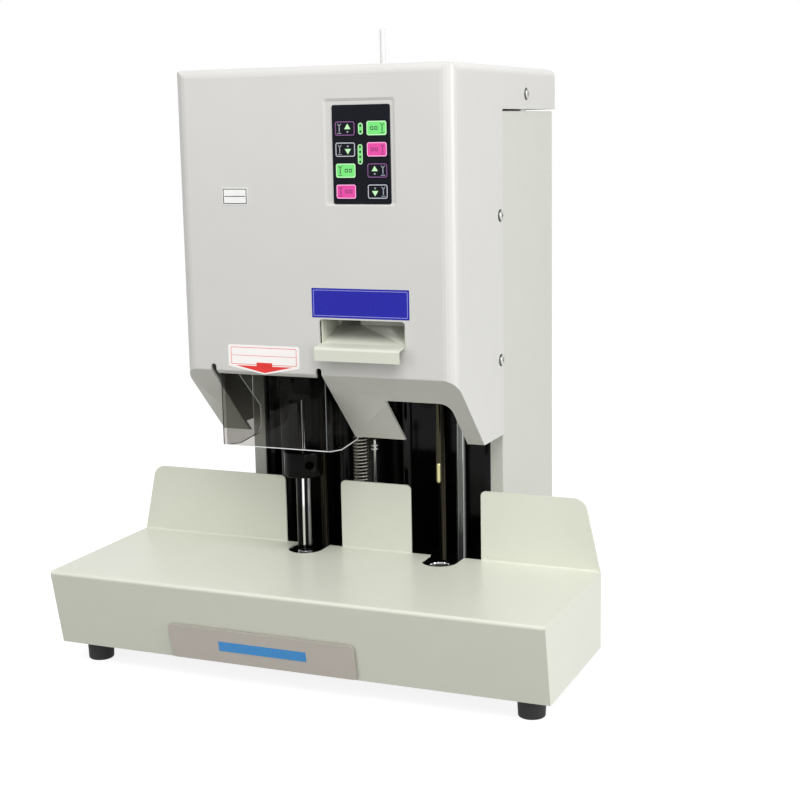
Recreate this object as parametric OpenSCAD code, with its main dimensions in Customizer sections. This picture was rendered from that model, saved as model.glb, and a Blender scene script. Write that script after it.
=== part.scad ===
/* [Overall size] */
// Width of the paper tray
tray_w = 510; // [490:1:600]
// Depth from the front of the tray to the back of the head cover
overall_d = 392; // [392:1:416]
// Height of the head cover above the floor
overall_h = 581; // [565:1:620]
// Height of the rubber feet
foot_h = 22; // [18:1:24]

/* [Paper tray] */
// Depth of the tray in front of the paper stops
tray_d = 176; // [174:1:180]
// Height of the tray's top face above the floor
tray_top = 99; // [98:0.5:104]
// How far the tray's front face leans back towards its foot
front_slope = 16; // [4:1:24]
// Thickness of the tray's sheet steel
tray_sheet = 2; // [1.5:0.5:3]
// Outer bend radius of the tray's top edges
tray_bend = 3; // [2:0.5:5]
// Height of the paper stops above the tray
stop_h = 70.5; // [40:0.5:76]
// Corner radius of the paper stops
stop_corner = 5; // [2:1:8]
// Corner radius at the tray's outer sides
stop_outer_corner = 13; // [6:1:20]
// How far a stop's outer edge leans inwards
stop_lean = 16; // [0:1:30]
// Left edge of the middle stop
mid_stop_left = -19; // [-22:1:-12]
// Right edge of the middle stop
mid_stop_right = 58; // [40:1:66]
// Inner edge of the left stop
left_stop_edge = -83; // [-100:1:-76]
// Inner edge of the right stop
right_stop_edge = 133; // [122:1:150]

/* [Work stations] */
// Place of the riveting station across the machine
press_x = -52; // [-54:1:-50]
// Place of the drilling station across the machine
drill_x = 96; // [95:1:97]
// Distance of both stations in front of the stops
station_gap = 18; // [16:1:20]
// Radius of the notches in the tray
notch_r = 18; // [16:0.5:20]

/* [Head cover] */
// Width of the head cover
head_w = 287; // [278:1:310]
// Distance of the head's front face in front of the stops
head_reach = 90; // [88:1:96]
// Wall thickness of the head cover
cover_wall = 3; // [2:0.5:3.5]
// Radius of the head's upright front corners
head_corner = 13; // [6:1:18]
// Radius of the head's top edges
head_top_corner = 8; // [4:1:12]
// Height where the front face turns into the sloping underside
fold_z = 293.5; // [290:0.5:300]
// Height of the lower rim of the head cover
rim_z = 219.5; // [216:0.5:224]
// Height of the cover's skirt over the cabinet
skirt_h = 41.5; // [39:0.5:44]
// Left edge of the guard's opening
guard_cut_left = -113.5; // [-116:0.5:-113]
// Right edge of the guard's opening
guard_cut_right = 6.3; // [6:0.1:8]
// Width of the two slots beside the front lip
slot_w = 6; // [5:0.5:6.5]
// How far the slots reach above the fold
slot_rise = 6.2; // [4:0.1:8]
// How far the front lip reaches below the fold
lip_depth = 4.5; // [3:0.5:6]
// Left edge of the drill's opening
drill_cut_left = 60; // [54:1:66]
// Right edge of the drill's opening
drill_cut_right = 126; // [122:1:128]
// Height of the top of the drill's opening
drill_cut_top = 267; // [262:1:272]

/* [Cabinet and frame] */
// Distance of the cabinet's sides inside the head cover's sides
cabinet_side_inset = 1.5; // [1.5:0.5:2.5]
// Depth of the rear cabinet
cabinet_d = 166; // [160:1:172]
// Distance of the cabinet's back in front of the head cover's back
cabinet_inset = 6; // [5:1:10]
// Thickness of the cabinet's sheet steel
cabinet_sheet = 2; // [1:0.5:3]
// Width of the cabinet's front flanges
flange_w = 14; // [8:1:14]
// Seam between the cabinet's top and the cover's skirt
seam_gap = 2; // [1:0.5:4]
// Thickness of the base plate
base_t = 8; // [6:1:9]
// Distance of the frame's side ribs inside the cabinet's sides
rib_inset = 22; // [19:1:22]
// Thickness of the frame's side ribs
rib_t = 8; // [5:1:8]
// Distance of the frame's back plate behind the stops
frame_back = 84; // [80:1:90]
// Thickness of the frame's back plate
frame_t = 12; // [8:1:14]
// Distance of the lower bed's top face below the tray
bed_drop = 19; // [18.5:0.5:20]
// Thickness of the lower bed
bed_t = 20; // [14:1:20]
// Distance of the top plate's lower face below the head cover's top
deck_drop = 111; // [107:1:115]
// Thickness of the top plate
deck_t = 12; // [8:1:14]

/* [Guides and screws] */
// Distance of the guide rods behind the stops
rod_back = 28; // [26:1:30]
// Distance of the feed screws behind the stops
screw_back = 50; // [48:1:52]
// Diameter of the riveting station's guide rods
press_rod_d = 12; // [8:0.5:12]
// Diameter of the drilling station's guide rods
drill_rod_d = 10; // [7:0.5:10]
// Wall of the bronze guide bushes
bush_wall = 3; // [2:0.5:3.5]
// Diameter of the feed screws
screw_d = 10; // [8:0.5:12]
// Running clearance on the radius of a sliding or turning fit
fit_gap = 0.05; // [0.02:0.01:0.08]

/* [Riveting head] */
// Height of the riveting tip above the tray as it stands
press_rise = 1; // [1:0.5:4]
// Diameter of the riveting tip
press_tip_d = 16.5; // [12:0.5:18]
// Length of the riveting tip below its heater collar
press_tip_h = 77; // [65:1:81]
// Diameter of the heater collar
collar_d = 40; // [30:1:44]
// Height of the heater collar
collar_h = 26; // [16:1:32]
// Diameter of the stem above the collar
stem_d = 6; // [5:0.5:10]
// Height of the carriage above the collar
stem_h = 55; // [49:1:59]
// Height of the riveting carriage
press_block_h = 40; // [30:1:44]
// Diameter of the lower riveting die
die_d = 16; // [12:0.5:18]
// Height of the lower riveting die above the bed
die_h = 18.5; // [17.5:0.5:19]
// Outer diameter of the return spring
spring_d = 19; // [15:0.5:20]
// Diameter of the return spring's wire
spring_wire = 1.9; // [1.2:0.1:2.4]
// Distance between two turns of the return spring
spring_pitch = 5.6; // [5:0.1:8]
// Diameter of the rod inside the return spring
spring_rod_d = 8; // [5:0.5:9]

/* [Drilling head] */
// Height of the drill's lower end above the tray as it stands
drill_rise = 80.6; // [78:0.1:84]
// Outer diameter of the hollow drill
drill_d = 5; // [4:0.5:6]
// How much thicker the drill's coated end is
drill_tip_extra = 0.6; // [0.2:0.1:1]
// Height of the drill carriage's lower face as it stands
drill_block_z = 290; // [288:1:294]
// Height of the drill carriage
drill_block_h = 24; // [18:1:30]
// Diameter of the spindle housing
housing_d = 34; // [28:1:34]
// Height of the spindle housing's top face
housing_top = 388; // [384:1:392]
// Diameter of the spindle
spindle_d = 14; // [10:0.5:16]
// Diameter of the drill chuck
chuck_d = 22; // [16:1:26]
// Diameter of the drill motor
motor_d = 36; // [30:1:37]
// Distance of the drill motor beside the spindle
motor_side = 30; // [29:1:32]
// Distance of the drill motor behind the spindle
motor_back = 24; // [23:1:26]
// Outer diameter of both belt pulleys
pulley_d = 34; // [26:1:36]
// Thickness of the drive belt
belt_t = 2.5; // [1.5:0.5:3]
// Diameter of the cutting pad's cup
pad_cup_d = 24; // [20:0.5:28]
// Height of the cup's rim above the bed
pad_cup_h = 15.5; // [14:0.5:16]
// Distance that the drill stops above the pad
drill_stop_gap = 0.6; // [0.4:0.1:2]

/* [Tube feed] */
// Place of the nylon tube across the machine
tube_x = 20; // [19:1:21]
// Distance of the nylon tube behind the stops
tube_back = 40; // [38:1:42]
// Outer diameter of the nylon tube
tube_d = 5.5; // [4:0.5:7]
// Bore of the nylon tube
tube_bore = 3.5; // [2.5:0.5:3.5]
// Height of the nylon tube's upper end above the head cover
tube_rise = 38; // [34:1:120]
// Distance of the feeder's lower face below the top plate
feeder_drop = 42; // [41:1:46]
// Radius of the feed rollers
roller_r = 8; // [6:0.5:9]
// Left edge of the chute's mouth
mouth_left = 5; // [4:0.5:6]
// Width of the chute's mouth
mouth_w = 88.5; // [80:0.5:92]
// Height of the mouth's lower edge
mouth_z = 321; // [319:0.5:323]
// Height of the chute's mouth
mouth_h = 26; // [22:0.5:30]
// How far the chute's lip stands out of the head
lip_reach = 14; // [8:1:20]
// How far the chute's lip hangs down
lip_drop = 13; // [6:1:16]
// Thickness of the chute's sheet
chute_sheet = 1.2; // [0.8:0.1:1.6]

/* [Guard] */
// Height of the guard's hinge above the fold
guard_pin_rise = 12.5; // [12:0.5:18]
// Distance of the guard's hinge behind the head's front face
guard_pin_back = 15; // [14:1:18]
// Wall of the clear guard
guard_wall = 2.5; // [2:0.5:2.5]
// Height of the guard's lower edge
guard_z = 214; // [212:1:220]
// Depth of the guard's side wings
wing_d = 74; // [60:1:76]

/* [Key panel] */
// Left edge of the key panel's recess
panel_left = 15; // [12:1:18]
// Width of the key panel's recess
panel_w = 72; // [70:1:78]
// Distance of the key panel's recess below the head cover's top
panel_drop = 30; // [25:1:35]
// Height of the key panel's recess
panel_h = 98; // [96:1:104]
// Width of the key membrane
membrane_w = 58; // [56:1:60]
// Height of the key membrane
membrane_h = 90; // [88:1:92]
// Width of a key
key_w = 20.4; // [18:0.1:21]
// Height of a key
key_h = 13.6; // [11:0.1:14.5]
// Distance between two rows of keys
key_pitch_z = 19.1; // [18.5:0.1:20]
// Distance between the two columns of keys
key_pitch_x = 31.7; // [31:0.1:33]
// Travel of a key
key_travel = 0.7; // [0.4:0.1:0.8]

/* [Scrap drawer] */
// Left side of the drawer box
drawer_left = -116; // [-120:1:-110]
// Right side of the drawer box
drawer_right = 64; // [50:1:68]
// Depth of the drawer box
drawer_d = 136; // [100:1:140]
// Height of the drawer box
drawer_h = 21.7; // [14:0.1:23]
// Wall of the drawer
drawer_wall = 1.2; // [0.8:0.1:2]
// Side overlap of the drawer's front plate
drawer_margin = 8; // [6:1:12]
// Height of the drawer's front plate
drawer_front_h = 35; // [34:1:38]

/* [Hidden] */
$fn = 64;

cut = 1; // overshoot of a cutting shape
seat_gap = 0.3; // clearance between a moving piece and its seat

// Main planes
front_y = -overall_d / 2;
rear_y = overall_d / 2;
stop_y = front_y + tray_d;
station_y = stop_y - station_gap;
rod_y = stop_y + rod_back;
screw_y = stop_y + screw_back;
stop_top = tray_top + stop_h;
base_top = foot_h + base_t;
tray_lean = front_slope / (tray_top - foot_h);
face_y = front_y - tray_bend * (1 / tan(45 - atan(tray_lean) / 2) - 1); // before its edge is rounded

// Head cover
head_front = stop_y - head_reach;
head_side = head_w / 2;
cover_inner_x = head_side - cover_wall;
skirt_z = overall_h - skirt_h;
slot_top = fold_z + slot_rise;
lip_z = fold_z - lip_depth;
slope_sum = head_front + fold_z; // y + z is the same all along the 45 degree underside
recess_d = 1;

// Cabinet
cabinet_w = head_w - 2 * cabinet_side_inset;
cabinet_rear = rear_y - cabinet_inset;
cabinet_front = cabinet_rear - cabinet_d;
cabinet_top = skirt_z - seam_gap;
cabinet_flange = 12;
cover_back = cabinet_front - seam_gap;
panel_t = 1.5;
panel_margin = 10;
panel_screw_d = 4;
panel_screw_points = [for (s = [-1, 1], i = [0:3])
    [s * (cabinet_w / 2 - 8), base_top + 16 + i * (cabinet_top - base_top - 32) / 3]];

// Frame
frame_y = stop_y + frame_back;
bed_top = tray_top - bed_drop;
rib_inner_x = cabinet_w / 2 - rib_inset;
deck_z = overall_h - deck_drop;
deck_top = deck_z + deck_t;
deck_bolt_d = 6;
bolt_d = 5;
side_screw_d = 5;
side_screw_points = [[cabinet_front + 72, skirt_z + 15], [cover_back - 8, deck_z - 32.5],
    [cover_back - 8, rim_z + 76]];
foot_points = [for (s = [-1, 1]) each
    [[s * (tray_w / 2 - 26), front_y + 42], [s * 112, cabinet_rear - 18]]];
foot_recess_part = 0.4;
deck_bolt_points = [for (x = [-95, -35, 35, 95]) [x, frame_y + frame_t / 2]];
post_points = [[20, stop_y - 40], [60, stop_y - 30]];

// Feed screws, nuts and motors
journal_d = screw_d - 2;
nut_d = screw_d + 10;
feed_motor_d = 36;
feed_motor_h = 48;

// Riveting head
press_rod_x = [press_x - 42, press_x + 26];
press_screw_x = press_x - 10;
press_tip_z = tray_top + press_rise;
press_block_z = press_tip_z + press_tip_h + collar_h + stem_h;
press_block_left = press_x - 53;
press_block_right = press_x + 38;
spring_x = press_x + 42.5;
spring_y = rod_y + 4;
spring_arm_h = 12;
stop_rod_x = spring_x + 17;
stop_rod_d = 3;
stop_ring_z = tray_top + 100;

// Drilling head
drill_rod_x = [drill_x - 52, drill_x + 6];
drill_screw_x = drill_x - 23;
drill_block_left = drill_x - 61;
drill_block_right = drill_x + housing_d / 2 + 0.8;
drill_tip_z = tray_top + drill_rise;
drill_tip_d = drill_d + drill_tip_extra;
drill_bore_part = 0.68;
chuck_h = 22;
chuck_z = drill_block_z - 28;
pulley_z = housing_top + 4;
pulley_flange = 3;
pulley_groove = 2.5;
belt_h = 7.4;
pulley_h = 2 * pulley_flange + belt_h + 2 * seat_gap;
motor_x = drill_x - motor_side;
motor_y = station_y + motor_back;
motor_shaft_d = 6;
pad_floor = bed_top + 4;
pad_top = bed_top + pad_cup_h - 1;
pad_cup_wall = 2;
pad_shaft_d = 8;
pad_motor_h = 24;
drill_travel = drill_tip_z - pad_top - drill_stop_gap;

// Tube feed and chute
tube_y = stop_y + tube_back;
tube_top = overall_h + tube_rise;
feeder_z = deck_z - feeder_drop;
feeder_h = 40;
roller_z = feeder_z + feeder_h / 2;
roller_shaft_d = 4;
drive_roller_y = tube_y + tube_d / 2 + roller_r + seat_gap;
pinch_roller_y = tube_y - tube_d / 2 - roller_r - seat_gap;
guide_neck_r = tube_d / 2 + 1.3;
chute_back = frame_y - 30;
chute_rise_part = 0.4673;
chute_slope = chute_rise_part * (feeder_z - mouth_z) / (chute_back - head_front - cover_wall);
chute_drop = chute_sheet * sqrt(1 + chute_slope * chute_slope);
function chute_floor(y) = mouth_z + 3 + chute_slope * (y - head_front - cover_wall);

// Guard
guard_pin_y = head_front + guard_pin_back;
guard_pin_z = fold_z + guard_pin_rise;
hinge_pin_d = 5;
knuckle_d = 9;
knuckle_w = 20;
knuckle_left_gap = 13.5;
knuckle_right_gap = 12.3;
knuckle_x = [guard_cut_left + knuckle_left_gap, guard_cut_right - knuckle_right_gap - knuckle_w];

// Keys
membrane_left = panel_left + 9;
panel_z = overall_h - panel_drop - panel_h;
membrane_z = panel_z + 2;
key_flange_y = head_front + 1.3;
key_flange_t = 0.8;
key_board_y = head_front + max(cover_wall, 3) + 0.5;
key_centres = [for (row = [0:3], side = [-0.5, 0.5])
    [membrane_left + membrane_w / 2 + side * key_pitch_x,
     membrane_z + membrane_h / 2 - 5 + (1.5 - row) * key_pitch_z]];

// Drawer
drawer_floor = base_top + 3.3;
drawer_top = drawer_floor + drawer_h;
runner_h = 3;
plate_gap = 3;

// Mains inlet
inlet_x = -96;
inlet_z = 90;
rocker_w = 15;
rocker_y = cabinet_rear + panel_t - 2;
rocker_z = inlet_z + 16;
rocker_angle = 8;

// A box from its low corner to its high corner
module block(low, high) {
    translate(low) cube(high - low);
}

// An upright cylinder between two heights
module upright(at, d, z0, z1) {
    translate([at[0], at[1], z0]) cylinder(d = d, h = z1 - z0);
}

// A cylinder along X between two places
module across_rod(y, z, d, x0, x1) {
    translate([x0, y, z]) rotate([0, 90, 0]) cylinder(d = d, h = x1 - x0);
}

// A cylinder along Y between two places
module along_rod(x, z, d, y0, y1) {
    translate([x, y1, z]) rotate([90, 0, 0]) cylinder(d = d, h = y1 - y0);
}

// A side-view outline, given as [y, z], pushed through along X
module side_profile(x0, x1) {
    translate([x0, 0, 0]) rotate([90, 0, 90]) linear_extrude(x1 - x0) children();
}

// A front-view outline, given as [x, z], pushed through along Y
module front_profile(y0, y1) {
    translate([0, y1, 0]) rotate([90, 0, 0]) linear_extrude(y1 - y0) children();
}

function unit(v) = v / norm(v);

// Points that round the corner q between its neighbours p and s
function soft_corner(p, q, s, r, steps) =
    r == 0 ? [q] :
    let (
        u = unit(p - q),
        v = unit(s - q),
        half = acos(u * v) / 2,
        centre = q + unit(u + v) * r / sin(half),
        a = q + u * r / tan(half) - centre,
        b = q + v * r / tan(half) - centre,
        start = atan2(a[1], a[0]),
        turn = atan2(b[1], b[0]) - start,
        sweep = turn > 180 ? turn - 360 : (turn < -180 ? turn + 360 : turn)
    )
    [for (i = [0:steps]) centre + r * [cos(start + sweep * i / steps), sin(start + sweep * i / steps)]];

// An outline whose corners are rounded by one radius each
function soft_outline(points, radii, steps = 6) =
    let (n = len(points))
    [for (i = [0:n - 1])
        each soft_corner(points[(i + n - 1) % n], points[i], points[(i + 1) % n], radii[i], steps)];

// A rectangle outline with round corners, from its low to its high corner
function soft_box(low, high, r) =
    soft_outline([low, [high[0], low[1]], high, [low[0], high[1]]], [r, r, r, r]);

// A screw with a socket in its head, standing on +Z
module socket_screw(d, head_d, head_h, shank) {
    difference() {
        union() {
            translate([0, 0, -shank]) cylinder(d = d, h = shank);
            cylinder(d = head_d, h = head_h);
        }
        translate([0, 0, head_h * 0.4]) cylinder(d = head_d * 0.5, h = head_h, $fn = 6);
    }
}

// A round-headed cross screw, standing on +Z
module cross_screw(d, head_d, head_h, shank) {
    difference() {
        union() {
            translate([0, 0, -shank]) cylinder(d = d, h = shank);
            intersection() {
                cylinder(d = head_d, h = head_h);
                translate([0, 0, head_h - head_d]) sphere(r = head_d);
            }
        }
        for (a = [0, 90]) {
            rotate(a) translate([-head_d * 0.3, -head_d * 0.06, head_h * 0.45])
                cube([head_d * 0.6, head_d * 0.12, head_h]);
        }
    }
}

// Paper tray: one folded sheet with its front, sides and three stops
module paper_tray() {
    top = tray_top;
    toe = face_y + front_slope;
    back = stop_y + tray_sheet;
    side = tray_w / 2;
    color("ivory")
    difference() {
        union() {
            side_profile(-side, side)
                polygon(soft_outline(
                    [[face_y, top], [back, top], [back, top - tray_sheet],
                     [face_y + tray_sheet, top - tray_sheet], [toe + tray_sheet, foot_h], [toe, foot_h]],
                    [tray_bend, 0, 0, max(tray_bend - tray_sheet, 0), 0, 0]));
            for (x = [-side, side - tray_sheet]) {
                side_profile(x, x + tray_sheet)
                    polygon(soft_outline(
                        [[face_y, top], [back, top], [back, foot_h], [toe, foot_h]],
                        [tray_bend, 0, 0, 0]));
            }
            stop_plate(-side, left_stop_edge, stop_lean, 0, stop_outer_corner, stop_corner);
            stop_plate(mid_stop_left, mid_stop_right, 0, 0, stop_corner, stop_corner);
            stop_plate(right_stop_edge, side, 0, stop_lean, stop_corner, stop_outer_corner);
        }
        tray_notch(press_x);
        tray_notch(drill_x);
        block([drawer_left - 2, face_y, base_top + 2],
              [drawer_right + 2, front_y + front_slope + 2 * tray_sheet, drawer_top + 1.5]);
    }
}

// One paper stop between two edges, each leaning and rounded by its own values
module stop_plate(x0, x1, lean0, lean1, r0, r1) {
    foot = tray_top - tray_sheet;
    front_profile(stop_y, stop_y + tray_sheet)
        polygon(soft_outline(
            [[x0, foot], [x1, foot], [x1 - lean1, stop_top], [x0 + lean0, stop_top]],
            [0, 0, r1, r0]));
}

// The notch at a work station, open to the back
module tray_notch(x) {
    z0 = tray_top - tray_sheet - cut;
    upright([x, station_y], 2 * notch_r, z0, tray_top + cut);
    block([x - notch_r, station_y, z0], [x + notch_r, stop_y + tray_sheet + cut, tray_top + cut]);
}

// Base plate with the drawer's side guides and runners
module base_frame() {
    toe = front_y + front_slope + 2 * tray_sheet;
    side = tray_w / 2 - tray_sheet;
    color("dimgray")
    difference() {
        union() {
            block([-side, toe, foot_h], [side, stop_y, base_top]);
            block([-cabinet_w / 2, stop_y - cut, foot_h], [cabinet_w / 2, cabinet_rear, base_top]);
            for (x = [drawer_left - 3 - seat_gap, drawer_right + seat_gap]) {
                block([x, toe + 4, base_top - cut], [x + 3, toe + drawer_d - 10, base_top + 16]);
            }
            for (x = [drawer_left + 20, drawer_right - 30]) {
                block([x, toe + 4, base_top - cut], [x + 10, toe + drawer_d - 10, base_top + runner_h]);
            }
        }
        for (p = foot_points) upright(p, bolt_d + 2 * fit_gap, foot_h - cut, base_top + cut);
        for (p = deck_bolt_points) upright(p, deck_bolt_d + 2 * fit_gap, foot_h - cut, base_top + cut);
    }
}

// Four rubber feet, each on its own screw
module rubber_feet() {
    color("black")
    for (p = foot_points) {
        difference() {
            translate([p[0], p[1], 0]) rotate_extrude()
                polygon(soft_outline([[0, 0], [12.5, 0], [13.5, foot_h], [0, foot_h]], [0, 1.5, 0.5, 0], 4));
            upright(p, bolt_d + 2 * fit_gap, -cut, foot_h + cut);
            upright(p, 11, -cut, foot_h * 0.4);
        }
    }
}

// The drawer's side view between two heights, its front moved back by inset, up to the depth y1
module drawer_profile(z0, z1, inset, y1) {
    front = face_y - plate_gap + inset;
    polygon([[front + tray_lean * (tray_top - z1), z1], [front + tray_lean * (tray_top - z0), z0],
             [y1, z0], [y1, z1]]);
}

// Scrap drawer: an open box with a leaning front plate
module scrap_drawer() {
    box_rear = front_y + 10 + drawer_d;
    plate_z0 = foot_h + 1;
    plate_z1 = plate_z0 + drawer_front_h;
    color("tan")
    union() {
        difference() {
            side_profile(drawer_left, drawer_right)
                drawer_profile(drawer_floor, drawer_top, 0.2, box_rear);
            side_profile(drawer_left + drawer_wall, drawer_right - drawer_wall)
                drawer_profile(drawer_floor + drawer_wall, drawer_top + cut, drawer_wall,
                               box_rear - drawer_wall);
        }
        intersection() {
            difference() {
                side_profile(drawer_left - 2 * drawer_margin, drawer_right + 2 * drawer_margin)
                    drawer_profile(plate_z0, plate_z1, 0, stop_y);
                side_profile(drawer_left - 3 * drawer_margin, drawer_right + 3 * drawer_margin)
                    drawer_profile(plate_z0 - cut, plate_z1 + cut, drawer_wall, stop_y + cut);
            }
            front_profile(front_y - 20, stop_y)
                polygon(soft_box([drawer_left - drawer_margin - 2, plate_z0],
                                 [drawer_right + drawer_margin - 2, plate_z1], 4));
        }
    }
}

// Rear cabinet: folded sheet with flanges, and brackets for the head cover on its top
module rear_cabinet() {
    side = cabinet_w / 2;
    inner = side - cabinet_sheet;
    inside_top = cabinet_top - cabinet_sheet;
    color("beige")
    difference() {
        union() {
            translate([0, 0, base_top]) linear_extrude(cabinet_top - base_top)
                polygon(soft_outline(
                    [[-side, cabinet_front], [side, cabinet_front], [side, cabinet_rear],
                     [-side, cabinet_rear]],
                    [1.5, 1.5, 4, 4]));
            for (s = [-1, 1]) cabinet_bracket(s);
        }
        block([-inner, cabinet_front + cabinet_sheet, base_top - cut],
              [inner, cabinet_rear - cabinet_sheet, inside_top]);
        block([flange_w - side, cabinet_front - cut, base_top - cut],
              [side - flange_w, cabinet_front + cabinet_sheet + cut, inside_top]);
        block([cabinet_flange - side, cabinet_rear - cabinet_sheet - cut, base_top + panel_margin],
              [side - cabinet_flange, cabinet_rear + cut, inside_top - panel_margin]);
        block([tube_x - tube_d / 2 - 3, cabinet_front - cut, inside_top - cut],
              [tube_x + tube_d / 2 + 3, tube_y + tube_d / 2 + 3, cabinet_top + cut]);
        for (p = panel_screw_points) {
            along_rod(p[0], p[1], panel_screw_d + 2 * fit_gap, cabinet_rear - cabinet_sheet - cut,
                      cabinet_rear + cut);
        }
        across_rod(side_screw_points[0][0], side_screw_points[0][1], side_screw_d + 2 * fit_gap,
                   -head_side - cut, head_side + cut);
    }
}

// Bracket on the cabinet's top that carries one side of the head cover
module cabinet_bracket(side) {
    y = side_screw_points[0][0];
    x0 = cover_inner_x - 26;
    mirror([side < 0 ? 1 : 0, 0, 0]) {
        block([x0, y - 8, cabinet_top], [cover_inner_x, y + 8, cabinet_top + 2]);
        block([cover_inner_x - 6, y - 8, cabinet_top], [cover_inner_x, y + 8, side_screw_points[0][1] + 8]);
    }
}

// Removable back panel with louvres
module back_panel() {
    side = cabinet_w / 2 - 4;
    slot_l = 50;
    slot_h = 4;
    color("beige")
    difference() {
        front_profile(cabinet_rear, cabinet_rear + panel_t)
            polygon(soft_box([-side, base_top + 4], [side, cabinet_top - 4], 5));
        for (x = [-90, -25, 40], row = [0:11]) {
            block([x, cabinet_rear - cut, cabinet_top - 60 - row * 14],
                  [x + slot_l, cabinet_rear + panel_t + cut, cabinet_top - 60 - row * 14 + slot_h]);
        }
        for (p = panel_screw_points) {
            along_rod(p[0], p[1], panel_screw_d + 2 * fit_gap, cabinet_rear - cut,
                      cabinet_rear + panel_t + cut);
        }
        block([inlet_x - 13.2, cabinet_rear - cut, inlet_z - 29.2],
              [inlet_x + 13.2, cabinet_rear + panel_t + cut, inlet_z + 29.2]);
    }
}

// Screws that hold the back panel
module panel_screws() {
    color("silver")
    for (p = panel_screw_points) {
        translate([p[0], cabinet_rear + panel_t, p[1]]) rotate([-90, 0, 0])
            cross_screw(panel_screw_d, 8, 2.4, 6);
    }
}

// Head cover: one shell with a sloping underside and openings for the two stations
module head_cover() {
    inner_sum = slope_sum + cover_wall * sqrt(2);
    inner_front = head_front + cover_wall;
    inner_rear = rear_y - cover_wall;
    inner_top = overall_h - cover_wall;
    corner = max(head_corner - cover_wall, 1);
    top_corner = max(head_top_corner - cover_wall, 1);
    below = rim_z - 10;
    color("gainsboro")
    difference() {
        intersection() {
            side_profile(-head_side, head_side)
                polygon(soft_outline(
                    [[head_front, overall_h], [rear_y, overall_h], [rear_y, skirt_z], [cover_back, skirt_z],
                     [cover_back, rim_z], [slope_sum - rim_z, rim_z], [head_front, fold_z]],
                    [head_top_corner, head_top_corner, 0, 3, 0, 1, 3]));
            head_plan(head_side, head_front, rear_y, head_corner);
            head_front_view(head_side, overall_h, head_top_corner);
        }
        intersection() {
            side_profile(-head_side, head_side)
                polygon(soft_outline(
                    [[inner_front, inner_top], [inner_rear, inner_top], [inner_rear, skirt_z - 10],
                     [cover_back + 10, skirt_z - 10], [cover_back + 10, below], [inner_sum - below, below],
                     [inner_front, inner_sum - inner_front]],
                    [top_corner, top_corner, 0, 0, 0, 0, 0]));
            head_plan(cover_inner_x, inner_front, inner_rear, corner);
            head_front_view(cover_inner_x, inner_top, top_corner);
        }
        front_profile(head_front - cut, head_front + cover_wall + cut) guard_cutout();
        block([guard_cut_left, head_front + cover_wall + 0.5, below],
              [guard_cut_right, cover_back + cut, slot_top - 1]);
        block([guard_cut_left, head_front - cut, below], [guard_cut_right, cover_back + cut, lip_z]);
        front_profile(head_front - cut, cover_back + cut)
            polygon(soft_outline(
                [[drill_cut_left, below], [drill_cut_right, below],
                 [drill_cut_right, drill_cut_top], [drill_cut_left, drill_cut_top]],
                [0, 0, 10, 3]));
        front_profile(head_front - cut, head_front + recess_d)
            polygon(soft_box([panel_left, panel_z], [panel_left + panel_w, panel_z + panel_h], 3));
        block([membrane_left + 1, head_front - cut, membrane_z + 1],
              [membrane_left + membrane_w - 1, inner_front + cut, membrane_z + membrane_h - 1]);
        front_profile(head_front - cut, inner_front + cut)
            polygon(soft_box([mouth_left, mouth_z], [mouth_left + mouth_w, mouth_z + mouth_h], 4));
        upright([tube_x, tube_y], 2 * (guide_neck_r + fit_gap), inner_top - cut, overall_h + cut);
        for (p = side_screw_points) {
            across_rod(p[0], p[1], side_screw_d + 2 * fit_gap, -head_side - cut, head_side + cut);
        }
    }
}

// The head's outline seen from above
module head_plan(side, y0, y1, corner) {
    translate([0, 0, rim_z - 20]) linear_extrude(overall_h - rim_z + 30)
        polygon(soft_outline([[-side, y0], [side, y0], [side, y1], [-side, y1]], [corner, corner, 4, 4]));
}

// The head's outline seen from the front
module head_front_view(side, top, corner) {
    front_profile(head_front - cut, rear_y + cut)
        polygon(soft_outline([[-side, rim_z - 20], [side, rim_z - 20], [side, top], [-side, top]],
                             [0, 0, corner, corner]));
}

// The guard's opening in the head's front face, with a lip between two slots
module guard_cutout() {
    polygon(soft_outline(
        [[guard_cut_left, rim_z - 10], [guard_cut_right, rim_z - 10], [guard_cut_right, slot_top],
         [guard_cut_right - slot_w, slot_top], [guard_cut_right - slot_w, lip_z],
         [guard_cut_left + slot_w, lip_z], [guard_cut_left + slot_w, slot_top], [guard_cut_left, slot_top]],
        [0, 0, slot_w * 0.45, slot_w * 0.45, 1.5, 3, slot_w * 0.45, slot_w * 0.45]));
}

// Screws at both sides of the head cover
module cover_screws() {
    color("silver")
    for (p = side_screw_points, s = [-1, 1]) {
        translate([s * head_side, p[0], p[1]]) rotate([0, s * 90, 0]) cross_screw(side_screw_d, 9, 2.8, 8);
    }
}

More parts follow.
